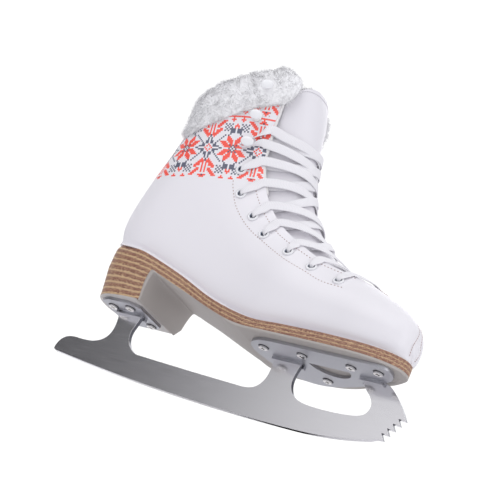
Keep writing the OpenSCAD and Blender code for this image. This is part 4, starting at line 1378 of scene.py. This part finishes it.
# How square the moulding's underside is across, by x: high on the breast and the flat sole
SQUARENESS = [[-141, -136, -128, -100, -62, -48], [18, 6, 2.6, 2.2, 2.6, 12]]
sole_x = rounded_ends(SOLE_BACK, SOLE_NOSE, 180)
band("sole_layers", sole_x, under(sole_x), feather(sole_x) - 0.1, False, 9,
     ["midsole_lower", "midsole_upper"])
heel_x = rounded_ends(SOLE_BACK, BREAST_BACK, 60)
band("heel_layers", heel_x, np.full(60, TOP_PIECE_LOW), under(heel_x), True, 16,
     ["heel_lift_1", "heel_lift_2", "heel_lift_3", "heel_lift_4", "heel_wedge"])


def outsole():
    """Heel breast, shank cover and walking sole in one moulding."""
    lower = trace([[-142.9, 58.8], [-142.3, 65], [-141, 72], [-139.2, 78.4], [-137, 80.8],
                   [-132, 78.9], [-126, 76.4]], 6)
    upper = trace([*BREAST_REAR, [-134, 81.2], [-126, 78.5]], 6)
    x = np.concatenate([np.linspace(-124, -40, 60), rounded_ends(-38, SOLE_NOSE, 60, 0.4)])
    low = np.where(x > -48, SOLE_FLAT, np.interp(x, SHANK_UNDER[:, 0], SHANK_UNDER[:, 1]))
    lower = np.concatenate([lower, xyz(x, low)])
    upper = np.concatenate([upper, xyz(x, under(x))])
    x, z = upper.T[..., None]
    inner, outer = outline_sides(x)
    on_breast = x < BREAST_FRONT
    corner = (1 - ramp(z, 59, 66)) * on_breast
    inner = inner * np.where(on_breast, heel_scale(z), 1)
    outer = outer * (1 + 0.03 * on_breast - 0.16 * corner)
    turn = np.linspace(PI, 0, 35)
    bulge = np.interp(x, *SQUARENESS)
    share = (1 - np.abs(np.cos(turn)) ** bulge) ** (1 / bulge)
    y = (inner + outer) / 2 + (outer - inner) / 2 * np.cos(turn)
    low_x, low_z = lower.T[..., None]
    under_side = xyz(lerp(x, low_x, share), y, lerp(z, low_z, share))
    top = xyz(x, y[:, -2:0:-1], z)
    obj = loft("moulded_outsole", np.concatenate([under_side, top], axis=1))
    return finish_piece(obj, "sole_taupe", TAUPE, "outsole")


def cad_piece(name, node, width, slot, paint, segments=2):
    """A piece that keeps its CAD node's shape, with broken edges."""
    return finish_piece(bevelled_copy(name, node, width, segments), slot, paint, node)


outsole()
cad_piece("heel_top_layer", "heel_top_piece", 0.7, "top_piece", TOP_GREY, 3)

# ---- Blade, plates and screws ----

TOE_PLATE_Z = 49.5
HEEL_PLATE_Z = 57.0
BLADE_T = 4.0
ROCKER_R = 1750.0
SPIN_ROCKER_R = 270.0
ROCKER_X = 8.0
TAIL_X = -216.0
SPIN_END_X = 66.0
PICK_TEETH = 5
PICK_START = np.array([71, 8.4])
PICK_LOW = np.array([76.3, 8.8])
PICK_HIGH = np.array([87.6, 26.2])
NOTCH = np.array([-6.0, 0.3])
# The edges of the blade's openings and ends, as (x, z), in order from the toe pick back
FRONT_EDGE = [[84, 31.5], [77, 39.5], [69, 46.5], [62.5, 50], [60, TOE_PLATE_Z]]
ARCH = [[42, TOE_PLATE_Z], [48, 42.5], [54, 37.2], [57.4, 31], [55.5, 24.5], [49, 21.3],
        [36, 19.9], [20, 19.6], [4, 20.9], [-5, 25], [-9.4, 31.5], [-10.3, 39.5],
        [-8.5, TOE_PLATE_Z]]
LONG_GAP = [[-31.5, TOE_PLATE_Z], [-31, 40], [-32.4, 31.5], [-37, 25], [-45, 22.3],
            [-60, 22.6], [-100, 24.2], [-138, 26], [-147, 27], [-153.5, 31.3],
            [-157, 36.5], [-158, 43], [-156.2, 51], [-154.5, HEEL_PLATE_Z]]
TAIL = [[-175.5, HEEL_PLATE_Z], [-174, 46], [-175.2, 38], [-179.5, 32.3], [-187, 29],
        [-196, 28.3], [-205, 28.6], [-211.5, 27.3], [-216, 23.4], [-218, 18.5],
        [-218.2, 15.5]]
TOE_SCREWS = [[-33, -19.7], [0.4, -21.3], [40.8, -20.2], [3.8, 21.3], [-33, 19], [64, -22]]
HEEL_SCREWS = [[-176.5, -10.7], [-158.9, -14.5], [-155.6, 16], [-176.5, 11]]
HEAD_R = 3.5
# Section of the painted shadow ring round each screw head, as (r, z) pairs.
SHADOW_PROFILE = [(HEAD_R - 0.6, -0.25), (HEAD_R + 0.75, -0.25), (HEAD_R + 0.9, 0.1),
        (HEAD_R - 0.6, 0.1)]
PAD_DOME = [(0.3, -1.0), (0.7, -1.0), (0.95, -0.45), (1.0, 0.1), (1.0, 0.6), (0.3, 0.6)]
# Middle x, z, length, width and depth of each pressed pad
PADS = [(-21, TOE_PLATE_Z, 12.5, 7.5, 0.7), (51.5, TOE_PLATE_Z, 10.5, 6.5, 0.8),
        (-165, HEEL_PLATE_Z, 11, 7, 0.8)]


def rocker(x):
    """Height of the blade's running edge at x."""
    r = np.where(x < ROCKER_X, ROCKER_R, SPIN_ROCKER_R)
    return r - np.sqrt(r ** 2 - (x - ROCKER_X) ** 2)


def blade():
    """The steel runner with its stanchions and toe pick, cut from one plate."""
    x = np.linspace(TAIL_X, SPIN_END_X, 90)
    line = np.stack([x, rocker(x)], -1)
    teeth = [PICK_START, PICK_LOW]
    for k in range(1, PICK_TEETH):
        tip = lerp(PICK_LOW, PICK_HIGH, k / (PICK_TEETH - 1))
        teeth += [tip + NOTCH, tip]
    outline = np.concatenate([line, teeth, trace(FRONT_EDGE, 6), trace(ARCH, 8),
                              trace(LONG_GAP, 8), trace(TAIL, 8)])
    n = len(outline)
    near = xyz(outline[:, 0], -BLADE_T / 2, outline[:, 1])
    n = len(near)
    a = np.arange(n)
    faces = quads(a, np.roll(a, -1), np.roll(a, -1) + n, a + n).tolist()
    obj = make("ground_blade", np.concatenate([near, near * (1, -1, 1)]),
               faces + [a[::-1].tolist(), (a + n).tolist()])
    for edge in obj.data.edges:
        edge.use_edge_sharp = (edge.vertices[0] < n) == (edge.vertices[1] < n)
    bevel(obj, 0.2, 2, 30)
    return finish_piece(obj, "blade_steel", BLADE_STEEL, "blade")


def painted_screw_shadows():
    """Painted shadow: a near-black ring round each screw head, where its countersink would lie in
    shade.
    """
    points, faces = lathe(SHADOW_PROFILE)
    places = [(x, y, TOE_PLATE_Z) for x, y in TOE_SCREWS]
    places += [(x, y, HEEL_PLATE_Z) for x, y in HEEL_SCREWS]
    obj = stamp("painted_screw_shadows", [(points + place, faces) for place in places])
    return finish_piece(obj, "screw_steel", SHADOW_RING_PAINT)


def plate_pads():
    """Pressed pads round each stanchion's socket."""
    points, faces = disc(PAD_DOME, 40)
    parts = [(points * size + (x, 0, z), faces) for x, z, *size in PADS]
    return finish_piece(bevel(stamp("plate_pads", parts), 0.3), "plate_steel", PLATE_STEEL)


blade()
cad_piece("front_plate", "toe_plate", 0.45, "plate_steel", PLATE_STEEL)
cad_piece("rear_plate", "heel_plate", 0.45, "plate_steel", PLATE_STEEL)
cad_piece("front_screws", "toe_plate_screws", 0.4, "screw_steel", SCREW_STEEL)
cad_piece("rear_screws", "heel_plate_screws", 0.4, "screw_steel", SCREW_STEEL)
painted_screw_shadows()
plate_pads()

# ---- CAD nodes kept ----

for node, paint in (("shank", PLATE_STEEL), ("insole_board", BOARD), ("heel_counter", FOAM),
                    ("toe_puff", FOAM)):
    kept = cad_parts[node]
    kept.data.materials.clear()
    kept.data.materials.append(paint.material)


# ---- Studio ----

FLOOR_HALF = 3000
DIM_CORNER = (-0.856, -0.455, 0.242)
DIM_FROM = 0.862
DIM_TO = 0.884
STUDIO_STRENGTH = 0.82
SEEN_STRENGTH = 1.1
STUDIO_WHITE = (0.96, 0.965, 1.0)
STUDIO_DARK = (0.06, 0.06, 0.065)
FLOOR_PALE = (0.85, 0.85, 0.87)
FLOOR_WHITE = (0.88, 0.88, 0.9)


def pale_floor():
    """The ice or table level, seen from above only, because the camera is below it."""
    corners = [[x * FLOOR_HALF, y * FLOOR_HALF, 0] for x, y in ((-1, -1), (1, -1), (1, 1), (-1, 1))]
    obj = make("floor", corners, [[0, 1, 2, 3]], closed_mesh=False)
    paint = Paint("floor_white", FLOOR_PALE, 0.6)
    paint.color(paint.mix(paint.noise(400.0, 2), FLOOR_PALE, FLOOR_WHITE))
    tree = paint.tree
    below = add_node(tree, "NewGeometry", {}, "Backfacing")
    seen = Value(tree, paint.shader.outputs[0])
    mix = add_node(tree, "MixShader", {0: below, 1: seen, 2: add_node(tree, "BsdfTransparent", {})})
    set_inputs(tree, tree.nodes["Material Output"], {0: mix})
    obj.data.materials.append(paint.material)


def white_world():
    """White to the camera, and a studio with one dim corner, which the blade mirrors."""
    world = bpy.data.worlds.new("studio")
    bpy.context.scene.world = world
    world.use_nodes = True
    tree = world.node_tree
    inputs = {0: add_node(tree, "TexCoord", {}, "Generated"), 1: Vector(DIM_CORNER).normalized()}
    dot = add_node(tree, "VectorMath", inputs, "Value", operation="DOT_PRODUCT")
    ramp_color = add_node(tree, "ValToRGB", {0: dot})
    first, last = ramp_color.socket.node.color_ramp.elements
    first.position, first.color = DIM_FROM, (*STUDIO_WHITE, 1)
    last.position, last.color = DIM_TO, (*STUDIO_DARK, 1)
    light = add_node(tree, "Background", {0: ramp_color, 1: STUDIO_STRENGTH})
    seen = add_node(tree, "Background", {0: (1, 1, 1), 1: SEEN_STRENGTH})
    camera_ray = add_node(tree, "LightPath", {}, "Is Camera Ray")
    mix = add_node(tree, "MixShader", {0: camera_ray, 1: light, 2: seen})
    set_inputs(tree, tree.nodes["World Output"], {0: mix})


# Name, place, target and size in metres, and power in watts
SOFTBOXES = [("key", (-0.5, -1.1, 1.3), (-0.05, 0, 0.12), (1.2, 1.2), 7),
             ("front_fill", (1.3, -0.4, 0.4), (-0.05, 0, 0.15), (0.9, 1.2), 3),
             ("back_rim", (-0.6, 1.2, 0.9), (-0.05, 0, 0.12), (1.2, 1.0), 4)]


def softbox(name, place, target, size, power):
    light = bpy.data.lights.new(name, "AREA")
    light.shape = "RECTANGLE"
    light.size, light.size_y = size
    light.energy = power
    obj = new_object(name, light)
    obj.location = place
    way = Vector(target) - Vector(place)
    obj.rotation_euler = way.to_track_quat("-Z", "Y").to_euler()


CAMERA_AIM = Vector((-0.070, 0.0, 0.1212))
CAMERA_AZIMUTH = 32.6108
CAMERA_ELEVATION = -18.0847
CAMERA_ROLL = 23.2759
CAMERA_DISTANCE = 1.68624
CAMERA_LENS = 162.05
CAMERA_SHIFT = (-0.0374, 0.0270)
CAMERA_SENSOR = 36


def camera():
    a, e, r = (math.radians(v) for v in (CAMERA_AZIMUTH, CAMERA_ELEVATION, CAMERA_ROLL))
    back = Vector((math.sin(a) * math.cos(e), -math.cos(a) * math.cos(e), math.sin(e)))
    right = (-back).cross(Vector((0, 0, 1))).normalized()
    up = right.cross(-back)
    x_axis = right * math.cos(r) + up * math.sin(r)
    y_axis = up * math.cos(r) - right * math.sin(r)
    data = bpy.data.cameras.new("camera")
    data.lens = CAMERA_LENS
    data.sensor_width = CAMERA_SENSOR
    data.shift_x, data.shift_y = CAMERA_SHIFT
    data.clip_end = 20
    obj = new_object("camera", data)
    obj.matrix_world = Matrix.Translation(CAMERA_AIM + back * CAMERA_DISTANCE) @ Matrix(
        (x_axis, y_axis, back)).transposed().to_4x4()
    bpy.context.scene.camera = obj


pale_floor()
white_world()
for box in SOFTBOXES:
    softbox(*box)
camera()
bpy.context.scene.view_settings.view_transform = "Standard"
